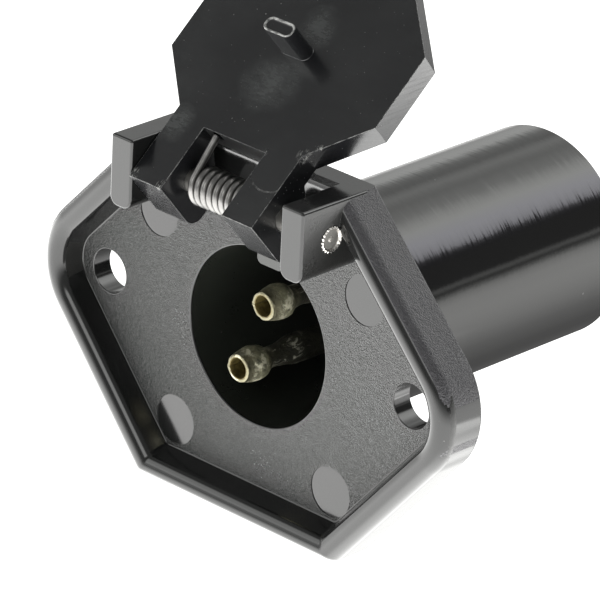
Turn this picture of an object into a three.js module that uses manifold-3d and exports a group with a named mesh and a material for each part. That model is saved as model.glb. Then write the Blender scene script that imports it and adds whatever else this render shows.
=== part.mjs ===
// Two-pole trailer wiring socket with a sprung octagonal lid, shown open.
//
// Millimetres. +X is to the right seen from the front, +Y runs back along the
// barrel, +Z is up to the hinge. The origin is the centre of the contact
// carrier's front face, on the barrel axis, where an inserted plug bottoms.
//
// Everything is first placed from the recessed floor of the flange (y = 0),
// and the whole assembly is then moved forward by PLUG_DEPTH.

import * as THREE from "three";
import { mergeVertices } from "three/addons/utils/BufferGeometryUtils.js";
import Module from "manifold-3d";

const { degToRad } = THREE.MathUtils;

// ---- driving dimensions ---------------------------------------------------

const PLUG_DEPTH = 22; // flange floor to the carrier's front face
const OVERRUN = 1; // how far a cutter runs past the face it opens

// Flange: an elongated hexagon with a raised rim round its recessed floor
const FLANGE_BACK = 3.0; // back (panel) face, behind the floor
const RIM_HEIGHT = 3.7; // rim's rounded crest, in front of the floor
const CREST_IN = 1.35; // crest outwards from the recess wall's top
const CREST_INNER_RADIUS = 1.66;
const CREST_OUTER_RADIUS = 1.98;
const BOTTOM_OUTER_RADIUS = 1.24; // the same along the bottom edge
const UPPER_ANGLE = degToRad(43.6); // upper side normals, above the X axis
const LOWER_ANGLE = degToRad(41.0); // lower side normals, below the X axis
const SIDE_OUT = 29.52; // axis to the outer faces of the four sloping sides
const SIDE_RIM = 26.19; // axis to the rim's inner top edge
const SIDE_FLOOR = 24.15; // axis to the foot of the rim
const TOP_Z = 25.39;
const BOTTOM_OUT = 24.37; // the bottom edge's distances from the axis
const BOTTOM_RIM = 21.78;
const BOTTOM_FLOOR = 20.42;
const TIP_RADIUS = 10.4;
const TIP_SEGMENTS = 12;
const CORNER_RADIUS = 1.6;
const MIN_CORNER_RADIUS = 0.2; // left at the crest
const RECESS_TOP = 28; // clear of the flange's top edge
const RECESS_TIP_RADIUS = 7.0;
const RECESS_TIP_GROWTH = 0.95; // tip radius gained per mm outwards
const RECESS_CORNER_RADIUS = 0.9;
const HOLE_X = 27.0; // mounting holes, 54 mm apart
const HOLE_RADIUS = 2.98;
const HOLE_REACH = 8; // their cutters, either side of the floor

// Barrel
const BARREL_RADIUS = 14.38;
const BARREL_FRONT = 0.5;
const BARREL_END = 53.67;
const BORE_RADIUS = 12.02; // plug bore
const REAR_BORE_RADIUS = 12.6; // carrier bore, leaves a stop shoulder
const CARRIER_NOSE = 2.0; // carrier's front face to the stop shoulder
const SHOULDER_Y = PLUG_DEPTH + CARRIER_NOSE;
const KEY_HALF_WIDTH = 2.3; // polarising rib on top of the plug bore
const KEY_BOTTOM = 9.7;
const KEY_TOP = BORE_RADIUS + 0.6; // sunk into the barrel wall
const KEY_FRONT = 1.8;
const KEY_BACK = PLUG_DEPTH - 2.3;

// Hinge
const EAR_OUT = 16.93;
const EAR_IN = 13.16;
const EAR_FRONT = -10.29;
const EAR_BACK = 1.0;
const EAR_BOTTOM = 15.71;
const HINGE_Y = -5.06;
const HINGE_Z = 20.54;
const PIN_RADIUS = 1.53;
const PIN_CHAMFER = 0.25; // left end
const PIN_PROUD = 0.2; // chamfered right end, beyond the ear
const PIN_HOLE_RADIUS = 1.57; // in the ears, where the pin is driven in
const LID_BORE_RADIUS = 1.6; // in the lid's arms, running clearance
const RELIEF_RADIUS = 6.35; // swept clearance for the lid's arms in the flange

// Lid, in its own frame: u to the right, s away from the hinge, n out of the inner face
const LID_SHIFT = -2.11; // the lid sits against the left ear
const LID_OPEN = degToRad(40.85); // s above the horizontal when open
const LID_INNER = 4.1; // n of the inner face
const LID_OUTER = 0.46; // n of the outer face
const LID_DRAFT = 0.26;
const LID_HALF = 17.99;
const LID_SIDE_LOW = 14.18;
const LID_SIDE_HIGH = 25.27;
const LID_TOP = 37.7;
const LID_TOP_HALF = 5.55;
const ARM_OUT = 10.86;
const ARM_IN_LEFT = 5.25;
const ARM_IN_RIGHT = 5.58;
const ARM_END = -4.1;
const ARM_ROOT = 8.2; // inside the plate
const NECK_S = 7.13;
const WINDOW_S = 5.63; // plate's edge between the arms
const POST_S = 19.87;
const POST_HALF = 2.5;
const POST_RADIUS = 1.08;
const POST_HEIGHT = 5.3;

// Closing spring
const WIRE_RADIUS = 0.48;
const WIRE_SIDES = 8;
const COIL_RADIUS = 2.25;
const COIL_START = -5.5;
const COIL_PITCH = 1.02;
const COIL_TURNS = 8;
const STEPS_PER_TURN = 18;
const FREE_LEG_SLOPE = 0.168; // relative to the lid
const FIXED_LEG_ANGLE = degToRad(50); // housing leg, from +Y towards +Z
const FREE_LEG = [6.1, 4.5, 3, 1.5]; // path points, distances from the coil
const FIXED_LEG = [1.5, 3, 4.5, 5.7];
const LEG_SLOT = { half: 0.75, s: [5, 7.0], n: [2.4, 3.98] };

// Carrier and back plate
const CARRIER_RADIUS = 12.42;
const CARRIER_NOSE_RADIUS = 11.9; // its front, inside the plug bore
const CARRIER_LENGTH = 16.5;
const CARRIER_BACK = PLUG_DEPTH + CARRIER_LENGTH;
const CARRIER_GAP = 0.05; // behind the shoulder and before the back plate
const PLATE_FRONT = CARRIER_BACK + CARRIER_GAP;
const PLATE_BACK = PLATE_FRONT + 3.4;
const LOCK_SCREW_Y = 35; // screw through the bottom of the barrel

// Contacts
const CONTACT_X = 1.97;
const CONTACT_Z = 5.0;
const CONTACT_OFFSET = Math.hypot(CONTACT_X, CONTACT_Z); // from the barrel axis
const CONTACT_TIP = -0.75;
const SHAFT_RADIUS = 1.98;
const COLLAR_RADIUS = 3.3;
const COLLAR_FRONT = PLUG_DEPTH + 3.3;
const COLLAR_BACK = PLUG_DEPTH + 5.0;
const TAIL_RADIUS = 2.95;
const TAIL_BORE_RADIUS = 1.9;
const TAIL_END = CARRIER_BACK - 0.05;
const CONTACTS = [
  { side: "upper", sign: 1 },
  { side: "lower", sign: -1 },
];

// Terminal screws, pointing out from the barrel axis through the contacts
const TERMINAL_Y = PLUG_DEPTH + 9.5;
const TERMINAL_RADIUS = 1.9;
const TERMINAL_HOLE_END = 14; // from the barrel axis

// Rear grommet
const GROMMET_FRONT = BARREL_END - 7;
const RIDGE_RADIUS = 12.5;
const GROOVE_RADIUS = 11.9;

const FINISHES = {
  housing: { color: 0x1b1c1d, roughness: 0.42, metalness: 0 },
  lid: { color: 0x151617, roughness: 0.34, metalness: 0 },
  carrier: { color: 0x141410, roughness: 0.6, metalness: 0 },
  rubber: { color: 0x101010, roughness: 0.85, metalness: 0 },
  brass: { color: 0xa99a5c, roughness: 0.35, metalness: 1 },
  steel: { color: 0xb4afa8, roughness: 0.3, metalness: 1 },
};

// ---- solids and geometries --------------------------------------------------

const wasm = await Module();
wasm.setup();

// A closed three.js geometry as a solid that can be cut and joined.
function solid(geometry) {
  const bare = geometry.clone();
  bare.deleteAttribute("normal");
  bare.deleteAttribute("uv");
  const merged = mergeVertices(bare, 1e-5);
  return new wasm.Manifold(
    new wasm.Mesh({
      numProp: 3,
      vertProperties: merged.attributes.position.array,
      triVerts: new Uint32Array(merged.index.array),
    }),
  );
}

// A solid back as a flat-shaded geometry.
function geometryOf(made) {
  const mesh = made.getMesh();
  const indexed = new THREE.BufferGeometry();
  indexed.setAttribute("position", new THREE.BufferAttribute(mesh.vertProperties, 3));
  indexed.setIndex(new THREE.BufferAttribute(mesh.triVerts, 1));
  const flat = indexed.toNonIndexed();
  flat.computeVertexNormals();
  return flat;
}

const join = (first, ...rest) => rest.reduce((sum, next) => sum.add(next), first);
const cut = (first, ...rest) => rest.reduce((left, next) => left.subtract(next), first);

// ---- outlines -----------------------------------------------------------------

// A closed outline from corners [x, y, radius, segments], rounded where a radius is given.
function filleted(corners) {
  const count = corners.length;
  return corners.flatMap(([x, y, radius, segments = 6], i) => {
    const corner = new THREE.Vector2(x, y);
    if (!radius) return [corner];
    const towards = ([toX, toY]) => new THREE.Vector2(toX - x, toY - y).normalize();
    const back = towards(corners[(i + count - 1) % count]);
    const ahead = towards(corners[(i + 1) % count]);
    const half = Math.acos(THREE.MathUtils.clamp(back.dot(ahead), -1, 1)) / 2;
    const reach = radius / Math.tan(half);
    const centre = corner
      .clone()
      .addScaledVector(back.clone().add(ahead).normalize(), radius / Math.sin(half));
    const start = corner.clone().addScaledVector(back, reach).sub(centre);
    const end = corner.clone().addScaledVector(ahead, reach).sub(centre);
    let sweep = end.angle() - start.angle();
    if (sweep > Math.PI) sweep -= 2 * Math.PI;
    if (sweep < -Math.PI) sweep += 2 * Math.PI;
    return Array.from({ length: segments + 1 }, (_, k) =>
      start
        .clone()
        .rotateAround(new THREE.Vector2(), (sweep * k) / segments)
        .add(centre),
    );
  });
}

const extrude = (points, depth) =>
  new THREE.ExtrudeGeometry(new THREE.Shape(points), { depth, bevelEnabled: false });

// A geometry turned about Y from a profile of [radius, y].
const lathe = (profile, segments) =>
  new THREE.LatheGeometry(
    profile.map(([radius, y]) => new THREE.Vector2(radius, y)),
    segments,
  );

// A geometry through [outline, z] levels, with outlines of equal length at rising z.
function stack(levels) {
  const count = levels[0][0].length;
  const positions = levels.flatMap(([outline, z]) =>
    outline.flatMap((point) => [point.x, point.y, z]),
  );
  const index = [];
  for (let k = 0; k + 1 < levels.length; k++)
    for (let i = 0; i < count; i++) {
      const here = k * count + i;
      const next = k * count + ((i + 1) % count);
      index.push(here, next, next + count, here, next + count, here + count);
    }
  const last = levels.length - 1;
  const capOf = (level) => THREE.ShapeUtils.triangulateShape(levels[level][0], []);
  for (const triangle of capOf(0)) index.push(...triangle.reverse());
  for (const triangle of capOf(last)) index.push(...triangle.map((i) => last * count + i));
  const geometry = new THREE.BufferGeometry();
  geometry.setAttribute("position", new THREE.Float32BufferAttribute(positions, 3));
  geometry.setIndex(index);
  return geometry;
}

// ---- basic solids ---------------------------------------------------------------

// An outline in X and Z, run along Y from y0 to y1.
const alongY = (points, y0, y1) =>
  solid(
    extrude(points, y1 - y0)
      .rotateX(Math.PI / 2)
      .translate(0, y1, 0),
  );

// An outline in Y and Z, run along X from x0 to x1.
const alongX = (points, x0, x1) =>
  solid(
    extrude(points, x1 - x0)
      .rotateX(Math.PI / 2)
      .rotateZ(Math.PI / 2)
      .translate(x0, 0, 0),
  );

const cylinder = (radius, length, segments) =>
  new THREE.CylinderGeometry(radius, radius, length, segments);

const rodY = (radius, y0, y1, segments, x = 0, z = 0) =>
  solid(cylinder(radius, y1 - y0, segments).translate(x, (y0 + y1) / 2, z));

const rodX = (radius, x0, x1, y, z, segments = 24) =>
  solid(
    cylinder(radius, x1 - x0, segments)
      .rotateZ(Math.PI / 2)
      .translate((x0 + x1) / 2, y, z),
  );

const box = (x0, x1, y0, y1, z0, z1) =>
  solid(
    new THREE.BoxGeometry(x1 - x0, y1 - y0, z1 - z0).translate(
      (x0 + x1) / 2,
      (y0 + y1) / 2,
      (z0 + z1) / 2,
    ),
  );

// An upright hole for the lock screw, centred at height z.
const lockHole = (radius, length, z, segments) =>
  solid(
    cylinder(radius, length, segments)
      .rotateX(Math.PI / 2)
      .translate(0, LOCK_SCREW_Y, z),
  );

// A rod along Y on one contact's axis.
const contactRod = (sign, radius, y0, y1, segments) =>
  rodY(radius, y0, y1, segments, sign * CONTACT_X, sign * CONTACT_Z);

const contactHoles = (radius, y0, y1, segments) =>
  CONTACTS.map(({ sign }) => contactRod(sign, radius, y0, y1, segments));

// Turns a geometry along Y to point out through a contact, at the terminal screws.
function pointedOut(geometry, sign) {
  const outwards = new THREE.Vector3(sign * CONTACT_X, 0, sign * CONTACT_Z).normalize();
  const turn = new THREE.Quaternion().setFromUnitVectors(
    new THREE.Vector3(0, 1, 0),
    outwards,
  );
  return solid(geometry.applyQuaternion(turn).translate(0, TERMINAL_Y, 0));
}

const terminalRod = (sign, radius, from, to) =>
  pointedOut(cylinder(radius, to - from, 20).translate(0, (from + to) / 2, 0), sign);

// ---- housing: flange, rim, ears and barrel in one moulding -----------------

// The six-sided outline whose sloping sides lie at `side` from the axis.
function hexagon({ side, top, bottom, tipRadius, cornerRadius }) {
  const upperX = Math.cos(UPPER_ANGLE);
  const upperZ = Math.sin(UPPER_ANGLE);
  const lowerX = Math.cos(LOWER_ANGLE);
  const lowerZ = Math.sin(LOWER_ANGLE);
  const tipZ = (side * (lowerX - upperX)) / (upperZ * lowerX + lowerZ * upperX);
  const tipX = (side - upperZ * tipZ) / upperX;
  const topX = (side - upperZ * top) / upperX;
  const bottomX = (side - lowerZ * bottom) / lowerX;
  return filleted([
    [topX, top, 0],
    [-topX, top, 0],
    [-tipX, tipZ, tipRadius, TIP_SEGMENTS],
    [-bottomX, -bottom, cornerRadius],
    [bottomX, -bottom, cornerRadius],
    [tipX, tipZ, tipRadius, TIP_SEGMENTS],
  ]);
}

// The outer body: straight sides that round over to the rim's crest.
function flange() {
  const level = (inset, height) => [
    hexagon({
      side: SIDE_OUT - inset,
      top: TOP_Z,
      bottom: BOTTOM_OUT - inset * (BOTTOM_OUTER_RADIUS / CREST_OUTER_RADIUS),
      tipRadius: TIP_RADIUS - inset,
      cornerRadius: Math.max(CORNER_RADIUS - inset, MIN_CORNER_RADIUS),
    }),
    height,
  ];
  const rounding = [0, 25, 45, 62, 78, 90].map(degToRad).map((angle) =>
    level(
      CREST_OUTER_RADIUS * (1 - Math.cos(angle)),
      RIM_HEIGHT - CREST_OUTER_RADIUS * (1 - Math.sin(angle)),
    ),
  );
  return solid(stack([level(0, -FLANGE_BACK), ...rounding]).rotateX(Math.PI / 2));
}

// The recess, whose wall leans outwards from the floor and rounds into the crest.
function recess() {
  const bottomLean = (BOTTOM_RIM - BOTTOM_FLOOR) / (SIDE_RIM - SIDE_FLOOR);
  const level = (outwards, height) => [
    hexagon({
      side: SIDE_RIM + outwards,
      top: RECESS_TOP,
      bottom: BOTTOM_RIM + outwards * (outwards > 0 ? 1 : bottomLean),
      tipRadius: RECESS_TIP_RADIUS + outwards * RECESS_TIP_GROWTH,
      cornerRadius: RECESS_CORNER_RADIUS,
    }),
    height,
  ];
  const rounding = [57, 40, 24, 10, 0].map(degToRad).map((angle) =>
    level(
      CREST_IN - CREST_INNER_RADIUS * Math.sin(angle),
      RIM_HEIGHT - CREST_INNER_RADIUS * (1 - Math.cos(angle)),
    ),
  );
  return solid(
    stack([
      level(SIDE_FLOOR - SIDE_RIM, 0),
      ...rounding,
      level(CREST_IN, RIM_HEIGHT + OVERRUN),
    ]).rotateX(Math.PI / 2),
  );
}

const ear = (sign) =>
  alongY(
    filleted([
      [sign * EAR_IN, TOP_Z, 0.25, 2],
      [sign * EAR_OUT, TOP_Z, 0.25, 2],
      [sign * EAR_OUT, EAR_BOTTOM, 1.3, 5],
      [sign * EAR_IN, EAR_BOTTOM, 1.5, 5],
    ]),
    EAR_FRONT,
    EAR_BACK,
  );

const mountingHole = (sign) =>
  rodY(HOLE_RADIUS, -HOLE_REACH, HOLE_REACH, 32, sign * HOLE_X);

function housing() {
  const rimGap = box(-EAR_IN, EAR_IN, -6, 0, 8, 30); // clears the rim between the ears
  const body = join(
    cut(flange(), recess(), rimGap),
    rodY(BARREL_RADIUS, BARREL_FRONT, BARREL_END, 72),
    ear(1),
    ear(-1),
  );
  const bored = cut(
    body,
    rodY(BORE_RADIUS, -6, SHOULDER_Y + OVERRUN, 64),
    rodY(REAR_BORE_RADIUS, SHOULDER_Y, BARREL_END + OVERRUN, 64),
    mountingHole(1),
    mountingHole(-1),
    rodX(RELIEF_RADIUS, -EAR_IN, EAR_IN, HINGE_Y, HINGE_Z, 64),
    rodX(PIN_HOLE_RADIUS, -20, 20, HINGE_Y, HINGE_Z),
    lockHole(1.75, 8, -BARREL_RADIUS, 24),
  );
  const key = box(
    -KEY_HALF_WIDTH, KEY_HALF_WIDTH,
    KEY_FRONT, KEY_BACK,
    KEY_BOTTOM, KEY_TOP,
  );
  return geometryOf(join(bored, key));
}

// ---- hinge pin, chamfered at its ends and driven through both ears ----------

const hingePin = () =>
  lathe(
    [
      [0, -EAR_OUT],
      [PIN_RADIUS - PIN_CHAMFER, -EAR_OUT],
      [PIN_RADIUS, -EAR_OUT + PIN_CHAMFER],
      [PIN_RADIUS, EAR_OUT],
      [PIN_RADIUS - PIN_PROUD, EAR_OUT + PIN_PROUD],
      [0, EAR_OUT + PIN_PROUD],
    ],
    24,
  )
    .rotateZ(-Math.PI / 2)
    .translate(0, HINGE_Y, HINGE_Z);

// ---- lid ---------------------------------------------------------------------

// The plate's outline in u and s, with a neck between the arms' outer faces.
function plateOutline(inset) {
  const nearSlope = inset * 1.41;
  const shift = inset * 0.41;
  const rightHalf = [
    [ARM_OUT, WINDOW_S],
    [ARM_OUT, NECK_S + nearSlope],
    [LID_HALF - inset, LID_SIDE_LOW + shift],
    [LID_HALF - inset, LID_SIDE_HIGH - shift],
    [LID_TOP_HALF - shift, LID_TOP - inset],
  ].map(([u, s]) => new THREE.Vector2(u, s));
  const leftHalf = rightHalf.map(({ x, y }) => new THREE.Vector2(-x, y)).reverse();
  return [...rightHalf, ...leftHalf];
}

// An arm seen from the side, in s and n: flat end, rounded heel, sloping back to the plate.
const arm = (u0, u1) =>
  alongX(
    filleted([
      [ARM_ROOT, LID_INNER, 0],
      [ARM_END, LID_INNER, 0],
      [-4.22, -5.45, 2.1, 7],
      [1.3, -5.5, 1.2, 3],
      [4.9, LID_OUTER, 0],
      [ARM_ROOT, LID_OUTER, 0],
    ]),
    u0,
    u1,
  );

// The oblong post on the inner face, rooted inside the plate.
function post() {
  const radius = POST_RADIUS * 0.98;
  const outline = filleted([
    [-POST_HALF, POST_S - POST_RADIUS, radius, 5],
    [POST_HALF, POST_S - POST_RADIUS, radius, 5],
    [POST_HALF, POST_S + POST_RADIUS, radius, 5],
    [-POST_HALF, POST_S + POST_RADIUS, radius, 5],
  ]);
  const root = 1;
  return solid(extrude(outline, POST_HEIGHT + root).translate(0, 0, LID_INNER - root));
}

function lid() {
  const plate = stack([
    [plateOutline(LID_DRAFT), LID_OUTER],
    [plateOutline(0), LID_INNER],
  ]);
  // The spring's free leg ends in a slot in the plate's edge between the arms.
  const legU = COIL_START - LID_SHIFT;
  const { half, s, n } = LEG_SLOT;
  return geometryOf(
    cut(
      join(
        solid(plate),
        arm(-ARM_OUT, -ARM_IN_LEFT),
        arm(ARM_IN_RIGHT, ARM_OUT),
        post(),
      ),
      rodX(LID_BORE_RADIUS, -12, 12, 0, 0),
      box(legU - half, legU + half, ...s, ...n),
    ),
  );
}

// ---- closing spring: a torsion coil round the hinge pin ---------------------

// Angles are measured in the Y-Z plane from +Y towards +Z. The coil runs down
// over the front and back up behind, left to right, tangent to both legs.
function lidSpring() {
  const coilEnd = COIL_START + COIL_PITCH * COIL_TURNS;
  const freeLegAngle = LID_OPEN + Math.atan(FREE_LEG_SLOPE);
  const startAngle = freeLegAngle + Math.PI / 2;
  const stopAngle = FIXED_LEG_ANGLE - Math.PI / 2;
  const sweep = 2 * Math.PI * COIL_TURNS + stopAngle - startAngle;
  const steps = Math.round((sweep / (2 * Math.PI)) * STEPS_PER_TURN);

  // A point at an angle on the coil, moved `along` a leg that leaves it there.
  const wirePoint = (x, angle, along = 0, legAngle = 0) =>
    new THREE.Vector3(
      x,
      HINGE_Y + COIL_RADIUS * Math.cos(angle) + along * Math.cos(legAngle),
      HINGE_Z + COIL_RADIUS * Math.sin(angle) + along * Math.sin(legAngle),
    );
  const coil = Array.from({ length: steps + 1 }, (_, i) =>
    wirePoint(
      COIL_START + ((coilEnd - COIL_START) * i) / steps,
      startAngle + (sweep * i) / steps,
    ),
  );
  const points = [
    ...FREE_LEG.map((along) => wirePoint(COIL_START, startAngle, along, freeLegAngle)),
    ...coil,
    ...FIXED_LEG.map((along) => wirePoint(coilEnd, stopAngle, along, FIXED_LEG_ANGLE)),
  ];
  const section = Array.from({ length: WIRE_SIDES }, (_, i) => {
    const angle = (i / WIRE_SIDES) * 2 * Math.PI;
    return new THREE.Vector2(WIRE_RADIUS * Math.cos(angle), WIRE_RADIUS * Math.sin(angle));
  });
  return new THREE.ExtrudeGeometry(new THREE.Shape(section), {
    steps: steps + FREE_LEG.length + FIXED_LEG.length,
    bevelEnabled: false,
    extrudePath: new THREE.CatmullRomCurve3(points, false, "centripetal"),
  });
}

// ---- contact carrier and its back plate --------------------------------------

function contactCarrier() {
  const stepY = SHOULDER_Y + CARRIER_GAP;
  const body = lathe(
    [
      [0, PLUG_DEPTH],
      [CARRIER_NOSE_RADIUS, PLUG_DEPTH],
      [CARRIER_NOSE_RADIUS, stepY],
      [CARRIER_RADIUS, stepY],
      [CARRIER_RADIUS, CARRIER_BACK],
      [0, CARRIER_BACK],
    ],
    56,
  );
  const behind = CARRIER_BACK + OVERRUN;
  // For each contact: its shaft hole, its collar's bore and its terminal screw's hole.
  const contactCuts = CONTACTS.flatMap(({ sign }) => [
    contactRod(sign, 2.08, PLUG_DEPTH - OVERRUN, PLUG_DEPTH + 4, 24),
    contactRod(sign, COLLAR_RADIUS + 0.08, PLUG_DEPTH + 3.2, behind, 28),
    terminalRod(sign, TERMINAL_RADIUS + 0.4, CONTACT_OFFSET, TERMINAL_HOLE_END),
  ]);
  return geometryOf(
    cut(
      solid(body),
      ...contactCuts,
      rodY(1.15, PLUG_DEPTH + 7, behind, 16),
      lockHole(1.2, 6, -11.6, 16),
    ),
  );
}

function backPlate() {
  const front = PLATE_FRONT - OVERRUN;
  const back = PLATE_BACK + OVERRUN;
  return geometryOf(
    cut(
      rodY(CARRIER_RADIUS, PLATE_FRONT, PLATE_BACK, 56),
      ...contactHoles(2.3, front, back, 24),
      rodY(1.5, front, back, 20),
    ),
  );
}

// A pan-head screw along -Y from the plane under its head, with a cross recess
// that reaches crossHalf from the axis.
function panScrew({ shankRadius, headRadius, headHeight, length, crossHalf }) {
  const body = lathe(
    [
      [0, -length],
      [shankRadius * 0.55, -length],
      [shankRadius, -length + 0.8],
      [shankRadius, 0],
      [headRadius, 0],
      [headRadius, headHeight * 0.45],
      [headRadius * 0.82, headHeight * 0.85],
      [headRadius * 0.45, headHeight],
      [0, headHeight],
    ],
    24,
  );
  const slotHalf = crossHalf / 5;
  const slotFloor = headHeight - headHeight * 0.6;
  const slotTop = 9; // well clear of the head
  return geometryOf(
    cut(
      solid(body),
      box(-crossHalf, crossHalf, slotFloor, slotTop, -slotHalf, slotHalf),
      box(-slotHalf, slotHalf, slotFloor, slotTop, -crossHalf, crossHalf),
    ),
  );
}

const carrierScrew = () =>
  panScrew({
    shankRadius: 1.05,
    headRadius: 2.35,
    headHeight: 1.7,
    length: 9.5,
    crossHalf: 1.35,
  }).translate(0, PLATE_BACK + 0.03, 0);

const lockScrew = () =>
  panScrew({
    shankRadius: 1.1,
    headRadius: 2.6,
    headHeight: 1.7,
    length: 4.8,
    crossHalf: 1.45,
  })
    .rotateX(-Math.PI / 2)
    .translate(0, LOCK_SCREW_Y, -BARREL_RADIUS - 0.05);

// ---- contacts and their terminal screws ----------------------------------------

// [radius, y]: out of the front bore, over the bulged tip and back to the bored tail.
const CONTACT_PROFILE = [
  [0, 6.2], [1.12, 6.0],
  [1.18, CONTACT_TIP + 0.15], [1.3, CONTACT_TIP], [1.55, CONTACT_TIP + 0.12],
  [2.0, 0.35], [2.28, 1.35], [2.36, 2.4], [2.22, 3.5], [1.78, 4.5],
  [1.5, 5.1], [1.5, 6.4], [1.72, 8.2], [SHAFT_RADIUS, 9.4],
  [SHAFT_RADIUS, COLLAR_FRONT], [COLLAR_RADIUS, COLLAR_FRONT],
  [COLLAR_RADIUS, COLLAR_BACK], [TAIL_RADIUS, COLLAR_BACK],
  [TAIL_RADIUS, TAIL_END], [TAIL_BORE_RADIUS, TAIL_END],
  [TAIL_BORE_RADIUS, PLUG_DEPTH + 6.5], [0, PLUG_DEPTH + 5.6],
];

const contactPin = (sign) =>
  geometryOf(
    cut(
      solid(lathe(CONTACT_PROFILE, 32).translate(sign * CONTACT_X, 0, sign * CONTACT_Z)),
      terminalRod(sign, TERMINAL_RADIUS + 0.05, CONTACT_OFFSET, TERMINAL_HOLE_END),
    ),
  );

function terminalScrew(sign) {
  const slot = new THREE.BoxGeometry(0.6, 1.2, 5).translate(0, CONTACT_OFFSET + 4.8, 0);
  return geometryOf(
    cut(
      terminalRod(sign, TERMINAL_RADIUS, CONTACT_OFFSET + 0.4, CONTACT_OFFSET + 4.6),
      pointedOut(slot, sign),
    ),
  );
}

// ---- rear grommet: a ridged plug with a tapered sleeve behind each contact -------

function rearGrommet() {
  const plug = lathe(
    [
      [0, GROMMET_FRONT],
      [11.6, GROMMET_FRONT],
      [RIDGE_RADIUS, GROMMET_FRONT + 1.4],
      [GROOVE_RADIUS, GROMMET_FRONT + 1.6],
      [RIDGE_RADIUS, GROMMET_FRONT + 3.4],
      [GROOVE_RADIUS, GROMMET_FRONT + 3.6],
      [RIDGE_RADIUS, GROMMET_FRONT + 5.4],
      [RIDGE_RADIUS, BARREL_END - 0.4],
      [12.1, BARREL_END],
      [0, BARREL_END],
    ],
    56,
  );
  const sleeveEnd = BARREL_END + 4.2;
  const sleeveProfile = [
    [0, BARREL_END - 1],
    [3.5, BARREL_END - 1],
    [3.5, BARREL_END + 0.4],
    [2.9, sleeveEnd],
    [0, sleeveEnd],
  ];
  const sleeves = CONTACTS.map(({ sign }) =>
    solid(lathe(sleeveProfile, 28).translate(sign * CONTACT_X, 0, sign * CONTACT_Z)),
  );
  return geometryOf(
    cut(
      join(solid(plug), ...sleeves),
      ...contactHoles(1.9, GROMMET_FRONT - OVERRUN, BARREL_END + 6, 24),
    ),
  );
}

// ---- assembly -------------------------------------------------------------------

const socket = new THREE.Group();
const assembly = new THREE.Group();
assembly.position.y = -PLUG_DEPTH;
socket.add(assembly);

function piece(name, geometry, finish, parent = assembly) {
  const material = new THREE.MeshStandardMaterial(FINISHES[finish]);
  const mesh = new THREE.Mesh(geometry, material);
  mesh.name = name;
  parent.add(mesh);
}

piece("housing", housing(), "housing");
piece("hinge_pin", hingePin(), "steel");

const lidGroup = new THREE.Group();
lidGroup.position.set(LID_SHIFT, HINGE_Y, HINGE_Z);
lidGroup.rotation.x = LID_OPEN;
assembly.add(lidGroup);
piece("lid", lid(), "lid", lidGroup);
piece("lid_spring", lidSpring(), "steel");

piece("contact_carrier", contactCarrier(), "carrier");
piece("carrier_back_plate", backPlate(), "carrier");
piece("carrier_screw", carrierScrew(), "steel");
piece("carrier_lock_screw", lockScrew(), "steel");
for (const { side, sign } of CONTACTS) {
  piece("contact_pin_" + side, contactPin(sign), "brass");
  piece("terminal_screw_" + side, terminalScrew(sign), "steel");
}
piece("rear_grommet", rearGrommet(), "rubber");

export default socket;
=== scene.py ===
"""Two-pole trailer wiring socket: flange, sprung lid, barrel, contacts and rear seal.

Pieces are modelled in millimetres. X runs across, Z up, and Y back along the barrel's axis
from the flange's recessed floor, so the rim and the lid lie at negative Y. finish_piece
takes each piece to metres in the row frame, whose origin is PLUG mm behind that floor.
"""

from math import acos, atan, atan2, cos, degrees, exp, hypot, pi, radians, sin, tan

import bmesh
import bpy
import numpy as np
from mathutils import Matrix, Vector, noise


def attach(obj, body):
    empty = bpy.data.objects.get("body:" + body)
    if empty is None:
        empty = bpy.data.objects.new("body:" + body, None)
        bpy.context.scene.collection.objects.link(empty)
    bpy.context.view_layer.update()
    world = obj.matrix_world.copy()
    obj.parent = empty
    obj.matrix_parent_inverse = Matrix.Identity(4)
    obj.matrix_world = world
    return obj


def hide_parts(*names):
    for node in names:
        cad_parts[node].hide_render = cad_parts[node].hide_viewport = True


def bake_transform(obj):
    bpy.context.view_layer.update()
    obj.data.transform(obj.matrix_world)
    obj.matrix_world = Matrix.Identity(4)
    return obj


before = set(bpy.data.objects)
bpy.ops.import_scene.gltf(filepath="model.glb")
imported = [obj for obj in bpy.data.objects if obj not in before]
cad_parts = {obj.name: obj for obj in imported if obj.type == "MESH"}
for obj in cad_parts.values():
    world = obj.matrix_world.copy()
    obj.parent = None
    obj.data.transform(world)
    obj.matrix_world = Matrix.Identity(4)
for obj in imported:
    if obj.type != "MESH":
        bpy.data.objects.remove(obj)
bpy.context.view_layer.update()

PLUG = 22.0  # flange floor to the carrier's front face
MM = 0.001

# ---------------------------------------------------------------- dimensions
# Flange: a hexagon cut off flat at the top. UP and LOW tilt its upper and lower side
# normals from X; SIDE_ and BOTTOM_ are distances of those edges from the axis.
UP, LOW = radians(43.6), radians(41.0)
UP_COS, UP_SIN, LOW_COS, LOW_SIN = cos(UP), sin(UP), cos(LOW), sin(LOW)
SIDE_OUT, SIDE_RIM, SIDE_FLOOR = 29.52, 26.19, 24.85
BOTTOM_OUT, BOTTOM_RIM, BOTTOM_FLOOR = 24.37, 21.78, 20.42
HEXAGON_TOP, TOP_Z = 33.0, 25.39  # as lofted, and where it is cut off
FLANGE_BACK, RIM_HEIGHT = 3.0, 3.7
CREST_IN = 1.35  # rim line to the rim's crest
INNER_R, OUTER_R, BOTTOM_OUTER_R = 1.80, 1.98, 1.24  # rounding of the rim
TIP_R, CORNER_R = 10.4, 1.6  # outline's side tips and bottom corners
FOOT_R, BACK_ROUND = 0.22, 0.4
HOLE_X, HOLE_R = 27.0, 2.98
DISC_R, DISCS = 3.4, [(18.28, 11.35), (-18.28, 11.35), (14.03, -16.61), (-14.03, -16.61)]

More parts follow.
